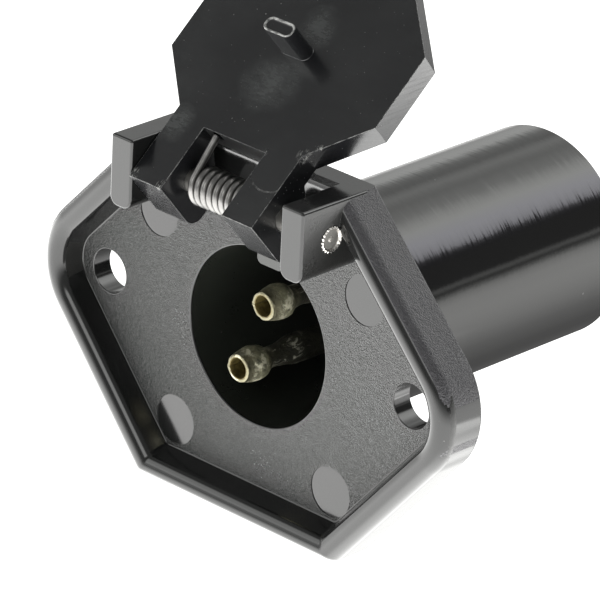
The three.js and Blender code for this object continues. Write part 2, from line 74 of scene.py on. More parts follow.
BARREL_R, BARREL_END, BORE_R, REAR_R = 14.38, 53.67, 12.02, 12.6
LOCK_Y = 35.0  # lock screw under the barrel

EAR_OUT, EAR_IN, EAR_FRONT, EAR_BOTTOM = 16.93, 13.16, -10.29, 15.71
HINGE_Y, HINGE_Z = -5.06, 20.54
RELIEF_R, PIN_BORE_R = 6.35, 1.6

# Lid coordinates: u along X, s out from the hinge, n towards the lid's upper face
LID_SHIFT, LID_OPEN = -2.11, radians(40.85)
OPEN_COS, OPEN_SIN = cos(LID_OPEN), sin(LID_OPEN)
LID_INNER, LID_OUTER = 4.1, 0.46
KNUCKLE_END = 10.86
POST_S, POST_TOP = 19.87, LID_INNER + 5.3

COIL_R, COIL_START, COIL_PITCH, COIL_TURNS, WIRE_R = 2.25, -5.5, 1.02, 8, 0.48

CONTACT_X, CONTACT_Z = 1.97, 5.0
CONTACTS = {"upper": (CONTACT_X, CONTACT_Z), "lower": (-CONTACT_X, -CONTACT_Z)}
CLAMP_Y = 31.5  # clamp screws

CARRIER_BACK = PLUG + 16.5
PLATE_FRONT, PLATE_BACK = PLUG + 16.55, PLUG + 19.95


# ---------------------------------------------------------------- outlines
def filleted(corners):
    """Points of an outline whose corners (x, y, radius, segments) are rounded."""
    points = []
    for i, (x, y, radius, segments) in enumerate(corners):
        corner = Vector((x, y))
        if radius <= 0:
            points.append((x, y))
            continue
        back = (Vector(corners[i - 1][:2]) - corner).normalized()
        ahead = (Vector(corners[(i + 1) % len(corners)][:2]) - corner).normalized()
        half = acos(max(-1, min(1, back.dot(ahead)))) / 2
        reach = radius / tan(half)
        centre = corner + (back + ahead).normalized() * (radius / sin(half))
        start, end = corner + back * reach - centre, corner + ahead * reach - centre
        first = atan2(start.y, start.x)
        turn = atan2(end.y, end.x) - first
        while turn > pi:
            turn -= 2 * pi
        while turn < -pi:
            turn += 2 * pi
        for k in range(segments + 1):
            angle = first + turn * k / segments
            points.append((centre.x + radius * cos(angle), centre.y + radius * sin(angle)))
    return points


def hexagon(side, bottom, tip, corner):
    """The flange's outline in X and Z; tip and corner are radii."""
    tip_z = side * (LOW_COS - UP_COS) / (UP_SIN * LOW_COS + LOW_SIN * UP_COS)
    tip_x = (side - UP_SIN * tip_z) / UP_COS
    top_x = (side - UP_SIN * HEXAGON_TOP) / UP_COS
    low_x = (side - LOW_SIN * bottom) / LOW_COS
    return filleted([
        (top_x, HEXAGON_TOP, 0, 0), (-top_x, HEXAGON_TOP, 0, 0), (-tip_x, tip_z, tip, 36),
        (-low_x, -bottom, corner, 10), (low_x, -bottom, corner, 10), (tip_x, tip_z, tip, 36),
    ])


def arc(cx, cy, radius, start, end, steps):
    """Points of an arc between two angles in degrees, both ends included."""
    angles = [radians(start + (end - start) * k / steps) for k in range(steps + 1)]
    return [(cx + radius * cos(a), cy + radius * sin(a)) for a in angles]


def circle(cx, cy, radius, count):
    return arc(cx, cy, radius, 0, 360 - 360 / count, count - 1)


def quarter(steps):
    """(sine, cosine) at equal steps over a right angle, without its start."""
    angles = [radians(90 * k / steps) for k in range(1, steps + 1)]
    return [(sin(a), cos(a)) for a in angles]


# ---------------------------------------------------------------- solids
# Names are given to finished pieces; solids for booleans keep the name "tool".
def new_object(name, verts, faces):
    mesh = bpy.data.meshes.new(name)
    mesh.from_pydata([tuple(map(float, v)) for v in verts], [], faces)
    mesh.update()
    bm = bmesh.new()
    bm.from_mesh(mesh)
    bmesh.ops.remove_doubles(bm, verts=bm.verts, dist=1e-5)
    bmesh.ops.recalc_face_normals(bm, faces=bm.faces)
    bm.to_mesh(mesh)
    bm.free()
    ob = bpy.data.objects.new(name, mesh)
    bpy.context.scene.collection.objects.link(ob)
    return ob


def loft(rings, name="tool"):
    """A closed solid through rings that have the same number of points."""
    n = len(rings[0])
    faces = []
    for k in range(len(rings) - 1):
        for i in range(n):
            a, b = k * n + i, k * n + (i + 1) % n
            faces.append((a, b, b + n, a + n))
    faces.append(tuple(range(n)))
    faces.append(tuple((len(rings) - 1) * n + i for i in range(n)))
    return new_object(name, [p for ring in rings for p in ring], faces)


def along_x(a, b, depth):
    return (depth, a, b)


def along_y(a, b, depth):
    return (a, depth, b)


def along_z(a, b, depth):
    return (a, b, depth)


def prism(outline, low, high, place):
    """An outline run from low to high by one of the along_ functions."""
    return loft([[place(a, b, depth) for a, b in outline] for depth in (low, high)])


def lathe(profile, segments, x=0.0, z=0.0, name="tool"):
    """A solid turned about Y from (radius, y) points that start and end on the axis."""
    verts, rings, faces = [], [], []
    for radius, y in profile:
        if radius < 1e-9:
            rings.append([len(verts)] * segments)
            verts.append((x, y, z))
        else:
            rings.append(list(range(len(verts), len(verts) + segments)))
            for i in range(segments):
                a = 2 * pi * i / segments
                verts.append((x + radius * cos(a), y, z + radius * sin(a)))
    for p, q in zip(rings, rings[1:]):
        for i in range(segments):
            j = (i + 1) % segments
            face = tuple(dict.fromkeys((p[i], p[j], q[j], q[i])))
            if len(face) > 2:
                faces.append(face)
    return new_object(name, verts, faces)


def rod(radius, y0, y1, segments, x=0.0, z=0.0):
    return lathe([(0, y0), (radius, y0), (radius, y1), (0, y1)], segments, x, z)


def hinge_rod(radius, count, x0, x1):
    return prism(circle(HINGE_Y, HINGE_Z, radius, count), x0, x1, along_x)


def box(x0, x1, y0, y1, z0, z1):
    verts = [(x, y, z) for x in (x0, x1) for y in (y0, y1) for z in (z0, z1)]
    faces = [(0, 1, 3, 2), (4, 6, 7, 5), (0, 4, 5, 1), (2, 3, 7, 6), (0, 2, 6, 4), (1, 5, 7, 3)]
    return new_object("tool", verts, faces)


# ---------------------------------------------------------------- mesh editing
def bevel_edges(ob, width, segments, test):
    """Rounds edges sharper than 60 degrees whose middle passes the test."""
    bm = bmesh.new()
    bm.from_mesh(ob.data)
    bm.normal_update()
    picked = [
        e for e in bm.edges
        if len(e.link_faces) == 2 and degrees(e.calc_face_angle(0)) > 60
        and test((e.verts[0].co + e.verts[1].co) / 2)
    ]
    bmesh.ops.bevel(
        bm, geom=picked, offset=width, segments=segments, profile=0.5,
        affect="EDGES", clamp_overlap=True,
    )
    bm.to_mesh(ob.data)
    bm.free()


def bake(ob):
    """Applies the object's modifiers."""
    graph = bpy.context.evaluated_depsgraph_get()
    graph.update()
    mesh = bpy.data.meshes.new_from_object(ob.evaluated_get(graph))
    ob.modifiers.clear()
    ob.data = mesh


def boolean(ob, tool, operation):
    m = ob.modifiers.new("b", "BOOLEAN")
    m.operation, m.object, m.solver = operation, tool, "EXACT"
    old = ob.data
    bake(ob)
    bpy.data.meshes.remove(old)
    bpy.data.objects.remove(tool)


def cut(ob, tool):
    boolean(ob, tool, "DIFFERENCE")


def join(ob, tool):
    boolean(ob, tool, "UNION")


def tidy(ob, flat):
    """Merges stray points; faces within flat degrees of one plane are dissolved if flat > 0."""
    bm = bmesh.new()
    bm.from_mesh(ob.data)
    bmesh.ops.remove_doubles(bm, verts=bm.verts, dist=2e-4)
    bmesh.ops.dissolve_degenerate(bm, dist=1e-4, edges=bm.edges)
    if flat:
        bmesh.ops.dissolve_limit(bm, angle_limit=radians(flat), verts=bm.verts, edges=bm.edges)
    bm.normal_update()
    bm.to_mesh(ob.data)
    bm.free()


def round_sharp(ob, width, segments, angle):
    m = ob.modifiers.new("bevel", "BEVEL")
    m.width, m.segments, m.limit_method = width, segments, "ANGLE"
    m.angle_limit = radians(angle)
    m.use_clamp_overlap = True
    m.miter_outer = "MITER_ARC"
    bake(ob)


def turn_about_y(ob, angle):
    ob.data.transform(Matrix.Rotation(radians(angle), 4, "Y"))


def shift(ob, x, y, z):
    ob.data.transform(Matrix.Translation((x, y, z)))


def point_outward(ob, x, z):
    """Turns +Y to point away from the barrel's axis, and moves the piece to a contact's clamp."""
    out = Vector((x, 0, z)).normalized()
    ob.data.transform(Vector((0, 1, 0)).rotation_difference(out).to_matrix().to_4x4())
    ob.data.transform(Matrix.Translation(out * hypot(x, z) + Vector((0, CLAMP_Y, 0))))


def finish_piece(ob, node, materials, sharp, body="housing", pick=None, blend=None):
    """To metres in the row frame, with smooth shading, materials and its body, or baked in place
    with no body when blend is given.

    pick(polygon) gives the material index, with the polygon in mm in the row frame.
    """
    mesh = ob.data
    mesh.transform(Matrix.Translation((0, -PLUG, 0)))
    mesh.update()
    mesh.materials.clear()
    for m in materials:
        mesh.materials.append(m)
    for p in mesh.polygons:
        p.use_smooth = True
        p.material_index = pick(p) if pick else 0
    mesh.transform(Matrix.Scale(MM, 4))
    mesh.set_sharp_from_angle(angle=radians(sharp))
    w = ob.modifiers.new("normals", "WEIGHTED_NORMAL")
    w.mode, w.weight, w.keep_sharp = "FACE_AREA", 50, True
    if blend:
        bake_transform(ob)
    else:
        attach(ob, body)
    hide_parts(node)


# ---------------------------------------------------------------- node trees
def opaque(colour):
    return (*colour, 1) if isinstance(colour, tuple) else colour


class Tree:
    """Short names for building the node tree of a material or a world."""

    def __init__(self, owner, output):
        self.owner = owner
        owner.use_nodes = True
        self.tree = owner.node_tree
        self.tree.nodes.clear()
        self.output = self.add(output)

    def add(self, kind, **props):
        n = self.tree.nodes.new(kind)
        for k, v in props.items():
            setattr(n, k, v)
        return n

    def put(self, socket, value):
        if isinstance(value, bpy.types.NodeSocket):
            self.tree.links.new(value, socket)
        else:
            socket.default_value = value

    def finish(self, shader):
        self.tree.links.new(shader.outputs[0], self.output.inputs[0])
        return self.owner

    def math(self, op, a, b):
        n = self.add("ShaderNodeMath", operation=op)
        for socket, value in zip(n.inputs, (a, b, 0.0)):
            self.put(socket, value)
        return n.outputs[0]

    def plus(self, a, b):
        return self.math("ADD", a, b)

    def minus(self, a, b):
        return self.math("SUBTRACT", a, b)

    def times(self, a, b):
        return self.math("MULTIPLY", a, b)

    def larger(self, a, b):
        return self.math("MAXIMUM", a, b)

    def centred(self, value, amount):
        """A 0 to 1 value made to swing about zero, times amount."""
        return self.times(self.minus(value, 0.5), amount)

    def fade(self, a, share, product):
        """a times (1 - share), plus the product of two factors."""
        return self.plus(self.times(a, self.minus(1.0, share)), self.times(*product))

    def vmath(self, op, a, b=(0, 0, 0)):
        n = self.add("ShaderNodeVectorMath", operation=op)
        self.put(n.inputs[0], a)
        self.put(n.inputs[1], b)
        return n.outputs["Value"] if op in ("DOT_PRODUCT", "DISTANCE") else n.outputs[0]

    def scaled(self, vector, scale):
        n = self.add("ShaderNodeVectorMath", operation="SCALE")
        self.put(n.inputs[0], vector)
        self.put(n.inputs["Scale"], scale)
        return n.outputs[0]

    def split(self, vector):
        n = self.add("ShaderNodeSeparateXYZ")
        self.put(n.inputs[0], vector)
        return n.outputs

    def combine(self, x, y, z):
        n = self.add("ShaderNodeCombineXYZ")
        for socket, value in zip(n.inputs, (x, y, z)):
            self.put(socket, value)
        return n.outputs[0]

    def noise(self, vector, scale=1.0, detail=4.0, rough=0.6, distort=0.0):
        n = self.add("ShaderNodeTexNoise")
        self.put(n.inputs["Vector"], vector)
        n.inputs["Scale"].default_value = scale
        n.inputs["Detail"].default_value = detail
        n.inputs["Roughness"].default_value = rough
        n.inputs["Distortion"].default_value = distort
        return n.outputs["Fac"]

    def ramp(self, value, *stops):
        """A grey ramp through (position, level) stops."""
        n = self.add("ShaderNodeValToRGB")
        while len(n.color_ramp.elements) < len(stops):
            n.color_ramp.elements.new(0.5)
        for element, (position, level) in zip(n.color_ramp.elements, stops):
            element.position = position
            element.color = (level, level, level, 1)
        self.put(n.inputs[0], value)
        return n.outputs[0]

    def mix(self, share, a, b):
        """Colour a, going to b as share goes to 1."""
        n = self.add("ShaderNodeMix", data_type="RGBA")
        self.put(n.inputs[0], share)
        self.put(n.inputs[6], opaque(a))
        self.put(n.inputs[7], opaque(b))
        return n.outputs[2]

    def range(self, value, start, end, low=0.0, high=1.0, kind="LINEAR"):
        """Goes from low to high as the value goes from start to end."""
        n = self.add("ShaderNodeMapRange", interpolation_type=kind)
        self.put(n.inputs[0], value)
        for socket, number in zip(n.inputs[1:5], (start, end, low, high)):
            socket.default_value = number
        return n.outputs[0]

    def smooth(self, value, start, end, low=0.0, high=1.0):
        return self.range(value, start, end, low, high, "SMOOTHSTEP")

    def stretch(self, x, y, z):
        """Object coordinates scaled by axis; the larger the scale, the finer the pattern."""
        n = self.add("ShaderNodeMapping")
        self.put(n.inputs["Vector"], self.coords)
        n.inputs["Scale"].default_value = (x, y, z)
        return n.outputs[0]

    def bump(self, height, strength, distance, normal=None):
        n = self.add("ShaderNodeBump")
        self.put(n.inputs["Height"], height)
        self.put(n.inputs["Strength"], strength)
        n.inputs["Distance"].default_value = distance
        if normal is not None:
            self.put(n.inputs["Normal"], normal)
        return n.outputs[0]

    def specks(self, scale, size, share):
        """1 inside small dust dots; share is how many cells have one."""
        cells = self.add("ShaderNodeTexVoronoi", feature="F1")
        self.put(cells.inputs["Vector"], self.coords)
        cells.inputs["Scale"].default_value = scale
        dot = self.math("LESS_THAN", cells.outputs["Distance"], size)
        colour = self.add("ShaderNodeSeparateColor")
        self.put(colour.inputs[0], cells.outputs["Color"])
        return self.times(dot, self.math("LESS_THAN", colour.outputs[0], share))

    def edges(self, radius, start, full):
        """0 on faces, 1 on edges; start and full are cosines of the rounded normal's tilt."""
        b = self.add("ShaderNodeBevel", samples=4)
        b.inputs["Radius"].default_value = radius
        g = self.add("ShaderNodeNewGeometry")
        tilt = self.vmath("DOT_PRODUCT", b.outputs[0], g.outputs["Normal"])
        return self.range(tilt, start, full)

    def surface(self, colour, rough, normal, metallic=0.0, tint=None):
        n = self.add("ShaderNodeBsdfPrincipled")
        self.put(n.inputs["Base Color"], opaque(colour))
        self.put(n.inputs["Roughness"], rough)
        self.put(n.inputs["Metallic"], metallic)
        self.put(n.inputs["IOR"], 1.5)
        self.put(n.inputs["Normal"], normal)
        if tint is not None:
            self.put(n.inputs["Specular Tint"], tint)
        return self.finish(n)


def material_tree(name):
    t = Tree(bpy.data.materials.new(name), "ShaderNodeOutputMaterial")
    t.coords = t.add("ShaderNodeTexCoord").outputs["Object"]
    return t


# ---------------------------------------------------------------- materials
# Places, reaches and bump distances are in metres; noise scales are per metre.
PLASTIC_BLACK = (0.0068, 0.0070, 0.0069)
SMUDGE_GREY, DUST_GREY = (0.052, 0.056, 0.055), (0.12, 0.12, 0.115)
SPOT_GREY, SCUFF_GREY = (0.22, 0.22, 0.21), (0.24, 0.24, 0.235)


def black_plastic(name, rough, dust, base=PLASTIC_BLACK, wave=0.05, grain=None, streak=0.0,
                  smudges=(), spots=(), wear=0.0, calm=None):
    """A black moulding.

    dust and wear are amounts; wave and streak are bump strengths; grain is the mould
    texture's (scale, strength, distance). smudges and spots are (place, reach) pairs, and
    calm is the (place, reach) of a ball without edge wear.
    """
    t = material_tree(name)
    c = t.coords
    cloud = t.noise(c, scale=90, detail=5)
    fine = t.noise(c, scale=2600, detail=3)
    r = t.plus(rough, t.centred(cloud, amount=0.16))
    r = t.plus(r, t.centred(fine, amount=0.10))
    # moulding waviness, then the texture of the mould
    n = t.bump(t.noise(c, scale=120, detail=2, rough=0.4), strength=wave, distance=0.0008)
    if grain:
        scale, strength, distance = grain
        small = t.noise(c, scale, detail=2.5, rough=0.55, distort=0.3)
        big = t.noise(c, scale * 0.33, detail=2, rough=0.5)
        n = t.bump(t.plus(small, t.times(big, 0.6)), strength, distance, n)
    if streak:
        lines = t.noise(t.stretch(220, 220, 2600), detail=3)
        n = t.bump(lines, strength=streak, distance=0.0002, normal=n)
    # hair-fine scratches
    scratch = t.noise(t.stretch(400, 2600, 300), rough=0.7, distort=0.6)
    scratch = t.math("GREATER_THAN", scratch, 0.70)
    n = t.bump(scratch, strength=0.10, distance=0.00002, normal=n)
    col = base
    if smudges:
        # a faint haze all over, and ragged patches round the places given
        haze = t.noise(c, scale=75, detail=3, rough=0.55, distort=0.5)
        haze = t.times(t.ramp(haze, (0.45, 0.0), (0.70, 1.0)), 0.22)
        ragged = t.centred(t.noise(c, scale=330), amount=0.004)
        for place, reach in smudges:
            away = t.plus(t.vmath("DISTANCE", c, place), ragged)
            haze = t.larger(haze, t.range(away, reach, reach * 0.15))
        wiped = t.noise(t.stretch(700, 2600, 1500), rough=0.7)
        haze = t.times(haze, t.ramp(wiped, (0.30, 0.25), (0.70, 1.0)))
        col = t.mix(t.times(haze, 0.8), col, SMUDGE_GREY)
        r = t.plus(r, t.times(haze, 0.15))
    if spots:
        # flaky whitened spots with a rough skin
        flake = t.noise(t.stretch(3600, 1500, 900), rough=0.7, distort=0.4)
        flake = t.ramp(flake, (0.52, 0.0), (0.58, 1.0))
        near = 0.0
        for place, reach in spots:
            near = t.larger(near, t.range(t.vmath("DISTANCE", c, place), reach, reach * 0.25))
        white = t.times(t.times(flake, near), 0.9)
        col = t.mix(white, col, SPOT_GREY)
        r = t.plus(r, t.times(white, 0.3))
        skin = t.times(t.noise(c, scale=2400, rough=0.7), near)
        n = t.bump(skin, strength=0.5, distance=0.00012, normal=n)
    # two sizes of dust, gathered in drifts
    large = t.specks(scale=900, size=0.09, share=0.06 * dust)
    small = t.specks(scale=2400, size=0.15, share=0.07 * dust)
    drift = t.ramp(t.noise(c, scale=140, detail=3), (0.45, 0.15), (0.62, 1.0))
    dots = t.times(t.larger(large, small), drift)
    col = t.mix(t.times(dots, 0.8), col, DUST_GREY)
    r = t.plus(r, t.times(dots, 0.35))
    if wear:
        # broken whitening along the edges
        rub = t.edges(radius=0.00014, start=0.99, full=0.93)
        broken = t.noise(c, scale=900, detail=3, rough=0.7)
        rub = t.times(rub, t.ramp(broken, (0.38, 0.0), (0.62, 1.0)))
        rub = t.times(rub, wear)
        if calm:
            place, reach = calm
            away = t.vmath("DISTANCE", c, place)
            rub = t.times(rub, t.range(away, reach * 0.85, reach))
        col = t.mix(rub, col, SCUFF_GREY)
        r = t.plus(r, t.times(rub, 0.3))
    return t.surface(col, r, n)


def worn(name):
    """The rubbed, whitened skin of a black moulding."""
    t = material_tree(name)
    black, white = (0.02, 0.02, 0.02), (0.34, 0.34, 0.33)
    mottle = t.noise(t.coords, scale=2200, rough=0.65)
    col = t.mix(t.ramp(mottle, (0.36, 0.0), (0.62, 1.0)), black, white)
    n = t.bump(mottle, strength=0.5, distance=0.0001)
    return t.surface(col, rough=0.42, normal=n)


def barrel_plastic():
    """Gloss black whose normals sway round the barrel, so that reflections break into streaks."""
    black, speck = (0.0042, 0.0041, 0.0043), (0.07, 0.07, 0.07)
    warm, cool = (1.0, 1.0, 0.985), (0.97, 0.955, 1.06)  # tints of the reflections
    t = material_tree("barrel_gloss_black")
    c = t.coords
    x, y, z = t.split(c)
    # metres round the barrel from +X towards +Z
    turn = t.times(t.math("ARCTAN2", z, x), BARREL_R * MM)

    def streaks(around, along, detail, rough):
        """Noise with one scale round the barrel and another along it."""
        place = t.combine(t.times(turn, around), t.times(y, along), 0.0)
        return t.noise(place, detail=detail, rough=rough)

    spikes = streaks(around=150, along=5200, detail=4, rough=0.66)
    spikes = t.ramp(spikes, (0.50, 0.0), (0.78, 1.0))
    sway = t.minus(streaks(around=90, along=110, detail=3, rough=0.5), 0.5)
    hair = t.minus(streaks(around=200, along=3600, detail=2, rough=0.5), 0.5)
    # spikes only on the upper part
    spikes = t.times(spikes, t.range(turn, 0.00719, 0.0086))
    # how far the normal tips: spikes back, broad sway and fine hairs both ways
    tilt = t.plus(t.times(spikes, -0.13), t.plus(t.times(sway, 0.022), t.times(hair, 0.03)))
    normal = t.add("ShaderNodeNewGeometry").outputs["Normal"]
    nx, _, nz = t.split(normal)
    tangent = t.combine(t.times(nz, -1.0), 0.0, nx)
    n = t.vmath("NORMALIZE", t.vmath("ADD", normal, t.scaled(tangent, tilt)))
    skin = t.noise(c, scale=2600, detail=2, rough=0.5)
    n = t.bump(skin, strength=0.03, distance=0.0001, normal=n)
    r = t.plus(0.085, t.centred(t.noise(c, scale=160), amount=0.07))
    dots = t.specks(scale=500, size=0.10, share=0.03)
    col = t.mix(t.times(dots, 0.7), black, speck)
    # the cool tint holds over a band of the upper part
    band = t.times(t.range(turn, 0.0086, 0.0094), t.range(turn, 0.0140, 0.0122))
    return t.surface(col, r, n, tint=t.mix(band, warm, cool))


def brass():
    """Bright at the tip's rolled ring, dull olive on the bulb with painted highlight glints, dark
    down the sleeve with painted highlight flecks and painted shade deeper in.
    """
    tip_y = -0.02275
    ring = (0.185, 0.172, 0.115)
    bulb_light, bulb_dark = (0.235, 0.225, 0.145), (0.070, 0.069, 0.047)
    sleeve_dark, sleeve_highlight = (0.012, 0.012, 0.010), (0.46, 0.45, 0.37)
    deep_shade, highlight_pale = (0.014, 0.014, 0.012), (0.50, 0.48, 0.36)
    t = material_tree("contact_brass_dull")
    c = t.coords
    y = t.split(c)[1]
    blot = t.noise(c, scale=900, detail=5, rough=0.65, distort=0.4)
    glint_noise = t.noise(c, scale=380)
    past_ring = t.range(y, tip_y + 0.0003, tip_y + 0.0016)
    past_bulb = t.range(y, tip_y + 0.0036, tip_y + 0.0056)
    bulb = t.mix(t.ramp(blot, (0.36, 0.0), (0.64, 1.0)), bulb_light, bulb_dark)
    col = t.mix(past_ring, ring, bulb)
    # painted highlights: pale flecks on the dark sleeve, where its crumpled surface would catch the
    # light
    highlight_flecks = t.noise(t.stretch(700, 420, 700), rough=0.65, distort=1.2)
    sleeve = t.mix(t.ramp(highlight_flecks, (0.56, 0.0), (0.66, 1.0)), sleeve_dark, sleeve_highlight)
    # painted shade: the sleeve goes darker deeper into the bore, where little light reaches
    sleeve = t.mix(t.range(y, tip_y + 0.0085, tip_y + 0.0115), sleeve, deep_shade)
    col = t.mix(t.times(past_bulb, 0.9), col, sleeve)
    # painted highlights: pale glints in the colour, a little more of them near the tip
    glint = t.plus(glint_noise, t.range(y, tip_y + 0.0030, tip_y + 0.0008, high=0.06))
    glint = t.ramp(glint, (0.59, 0.0), (0.65, 0.9))
    col = t.mix(t.times(glint, t.minus(1.0, past_bulb)), col, highlight_pale)
    r = t.range(blot, 0.3, 0.7, low=0.34, high=0.55)
    metal = t.minus(1.0, t.times(past_ring, 0.62))
    dents = t.noise(c, scale=620, distort=0.8)
    n = t.bump(dents, strength=0.75, distance=0.00034)
    grit = t.noise(c, scale=3500, detail=3)
    n = t.bump(grit, strength=0.25, distance=0.00004, normal=n)
    return t.surface(col, r, n, metallic=metal)


def brass_bore():
    t = material_tree("contact_bore_tarnish")
    dark, light = (0.055, 0.042, 0.013), (0.16, 0.125, 0.040)
    blot = t.noise(t.coords, scale=1100)
    col = t.mix(t.ramp(blot, (0.35, 0.0), (0.7, 1.0)), dark, light)
    n = t.bump(t.noise(t.coords, scale=1800, detail=3), strength=0.4, distance=0.0001)
    return t.surface(col, rough=0.45, normal=n, metallic=0.45)


def steel(name, base, dark, rough):
    """Blotched metal with a fine grain."""
    t = material_tree(name)
    c = t.coords
    blot = t.noise(c, scale=700)
    fine = t.noise(t.stretch(2400, 700, 700), rough=0.65)
    col = t.mix(t.ramp(blot, (0.42, 0.0), (0.75, 0.7)), base, dark)
    r = t.plus(rough, t.centred(fine, amount=0.30))
    n = t.bump(fine, strength=0.25, distance=0.00005)
    grit = t.noise(c, scale=4200, detail=2, rough=0.5)
    n = t.bump(grit, strength=0.15, distance=0.00003, normal=n)
    return t.surface(col, r, n, metallic=1.0)


def rubber(name):
    t = material_tree(name)
    c = t.coords
    dark, light = (0.011, 0.011, 0.011), (0.022, 0.022, 0.021)
    fine = t.noise(c, scale=1800)
    n = t.bump(fine, strength=0.35, distance=0.0001)
    broad = t.noise(c, scale=160, detail=3, rough=0.5)
    n = t.bump(broad, strength=0.15, distance=0.0005, normal=n)
    col = t.mix(t.ramp(t.noise(c, scale=260), (0.4, 0.0), (0.75, 1.0)), dark, light)
    r = t.range(fine, 0.3, 0.7, low=0.50, high=0.72)
    return t.surface(col, r, n)


def on_lid(u, s, n):
    """A point of the open lid in metres in the row frame."""
    y = HINGE_Y + s * OPEN_COS - n * OPEN_SIN - PLUG
    z = HINGE_Z + s * OPEN_SIN + n * OPEN_COS
    return ((LID_SHIFT + u) * MM, y * MM, z * MM)


SMOOTH_MAT = black_plastic(
    "housing_black_smooth", rough=0.12, wave=0.03, dust=0.08, wear=0.16,
    calm=((0.0337, -0.0247, -0.0062), 0.0042),
)
FLOOR_MAT = black_plastic(
    "housing_black_grained_floor", rough=0.24, base=(0.0125, 0.0132, 0.0126),
    grain=(4400, 0.85, 0.00025), dust=0.06,
)
WALL_MAT = black_plastic(
    "housing_black_coarse_wall", rough=0.34, base=(0.0200, 0.0190, 0.0220),
    grain=(4800, 0.75, 0.00020), dust=0.2, wear=0.3,
)
BARREL_MAT = barrel_plastic()
LID_MAT = black_plastic(
    "lid_black_gloss", rough=0.20, base=(0.0072, 0.0074, 0.0082), dust=1.0, wear=1.0, streak=0.05,
    smudges=[
        (on_lid(-0.35, 14.6, LID_INNER), 0.0050),
        (on_lid(0.9, 23.6, LID_INNER), 0.0036),
        (on_lid(-9.7, 5.0, LID_INNER), 0.0030),
    ],
    calm=(on_lid(0.0, POST_S, LID_INNER), 0.0044),
    spots=[
        (on_lid(10.9, 7.3, 3.4), 0.0013),
        (on_lid(12.6, 8.9, LID_INNER), 0.0007),
        (on_lid(-10.6, -3.6, LID_INNER), 0.0011),
        (on_lid(-5.4, -3.8, LID_INNER), 0.0011),
        (on_lid(5.5, 5.8, LID_INNER), 0.0006),
    ],
)
CARRIER_MAT = black_plastic(
    "carrier_black_matt", rough=0.42, dust=0.2, wear=0.2, grain=(1500, 0.15, 0.0001)
)
RUBBER_MAT = rubber("grommet_rubber_black")
BRASS_MAT = brass()
BORE_BRASS = brass_bore()
SPRING_MAT = steel(
    "spring_steel_satin", base=(0.21, 0.205, 0.20), dark=(0.07, 0.068, 0.066), rough=0.36
)
ZINC_MAT = steel(
    "zinc_steel_dull", base=(0.36, 0.35, 0.33), dark=(0.15, 0.145, 0.135), rough=0.45
)
BRIGHT_MAT = steel(
    "crimped_steel_bright", base=(0.62, 0.60, 0.57), dark=(0.16, 0.15, 0.14), rough=0.28
)
BORE_MAT = black_plastic(
    "housing_black_bore", rough=0.30, base=(0.0125, 0.0140, 0.0115), dust=0.8, wave=0.08
)
EAR_MAT = black_plastic(
    "housing_black_ear_side", rough=0.30, base=(0.0100, 0.0100, 0.0095),
    grain=(4600, 0.35, 0.00010), dust=0.6, wear=0.3,
)
POST_MAT = worn("post_rim_worn")
DULL_MAT = black_plastic(
    "lid_black_dull_window", rough=0.50, base=(0.0070, 0.0072, 0.0074),
    grain=(2400, 0.3, 0.0001), dust=0.3,
)


# ---------------------------------------------------------------- housing
def flange():
    """From the recess floor, over the rim and down the outside to the flange's back."""
    rings = []

    def level(side, bottom, tip, corner, y):
        rings.append([(x, y, z) for x, z in hexagon(side, bottom, tip, corner)])

    # hollow fillet at the foot of the recess wall
    for k in range(13):
        a = radians(70) * k / 12
        out = FOOT_R * sin(a)
        level(SIDE_FLOOR + out, BOTTOM_FLOOR - 0.04 + out, 4.9 + 1.1 * out, 0.9,
              -FOOT_R * (1 - cos(a)))
    # the rim's inner side, up to its crest
    for k in range(15):
        a = radians(72 - 72 * k / 14)
        out = CREST_IN - INNER_R * sin(a)
        level(SIDE_RIM + out, BOTTOM_RIM + out, 7.0 + out * 0.95, 0.85 - 0.1 * max(out, 0),
              -(RIM_HEIGHT - INNER_R * (1 - cos(a))))
    # its outer side
    for sine, cosine in quarter(18):
        inset = OUTER_R * (1 - sine)
        level(SIDE_OUT - inset, BOTTOM_OUT - BOTTOM_OUTER_R * (1 - sine), TIP_R - inset,
              max(CORNER_R - inset * 0.6, 0.4), -(RIM_HEIGHT - OUTER_R * (1 - cosine)))
    # the outer wall and the rounded back edge
    wall_end = FLANGE_BACK - BACK_ROUND
    level(SIDE_OUT, BOTTOM_OUT, TIP_R, CORNER_R, wall_end)
    for sine, cosine in quarter(4):
        inset = BACK_ROUND * (1 - cosine)
        level(SIDE_OUT - inset, BOTTOM_OUT - inset, TIP_R - inset, CORNER_R,
              wall_end + BACK_ROUND * sine)
    return loft(rings, "socket_housing")


def add_barrel(housing):
    front, edge = 0.6, 0.35
    profile = [(0, front), (BARREL_R, front), (BARREL_R, BARREL_END - edge)]
    profile += [
        (BARREL_R - edge * (1 - cosine), BARREL_END - edge + edge * sine)
        for sine, cosine in quarter(5)
    ]
    join(housing, lathe(profile + [(0, BARREL_END)], 192))


def add_ears(housing):
    """The two hinge ears, either side of a gap cut through the rim."""
    cut(housing, box(-EAR_IN, EAR_IN, -7, 0.0, 8, 40))
    for s in (1, -1):
        outline = filleted([
            (s * EAR_IN, TOP_Z, 0.35, 5), (s * EAR_OUT, TOP_Z, 0.4, 5),
            (s * EAR_OUT, EAR_BOTTOM, 1.3, 12), (s * EAR_IN, EAR_BOTTOM, 1.5, 12),
        ])
        ear = prism(outline, EAR_FRONT, 1.0, along_y)
        bevel_edges(ear, 0.42, 5, lambda c: c.y < EAR_FRONT + 0.01)
        join(housing, ear)


def mouth(radius, edge, steps):
    """Profile points of a hole's rounded front edge, ending at the hole's own radius."""
    return [(radius + edge * (1 - sine), edge * (1 - cosine)) for sine, cosine in quarter(steps)]


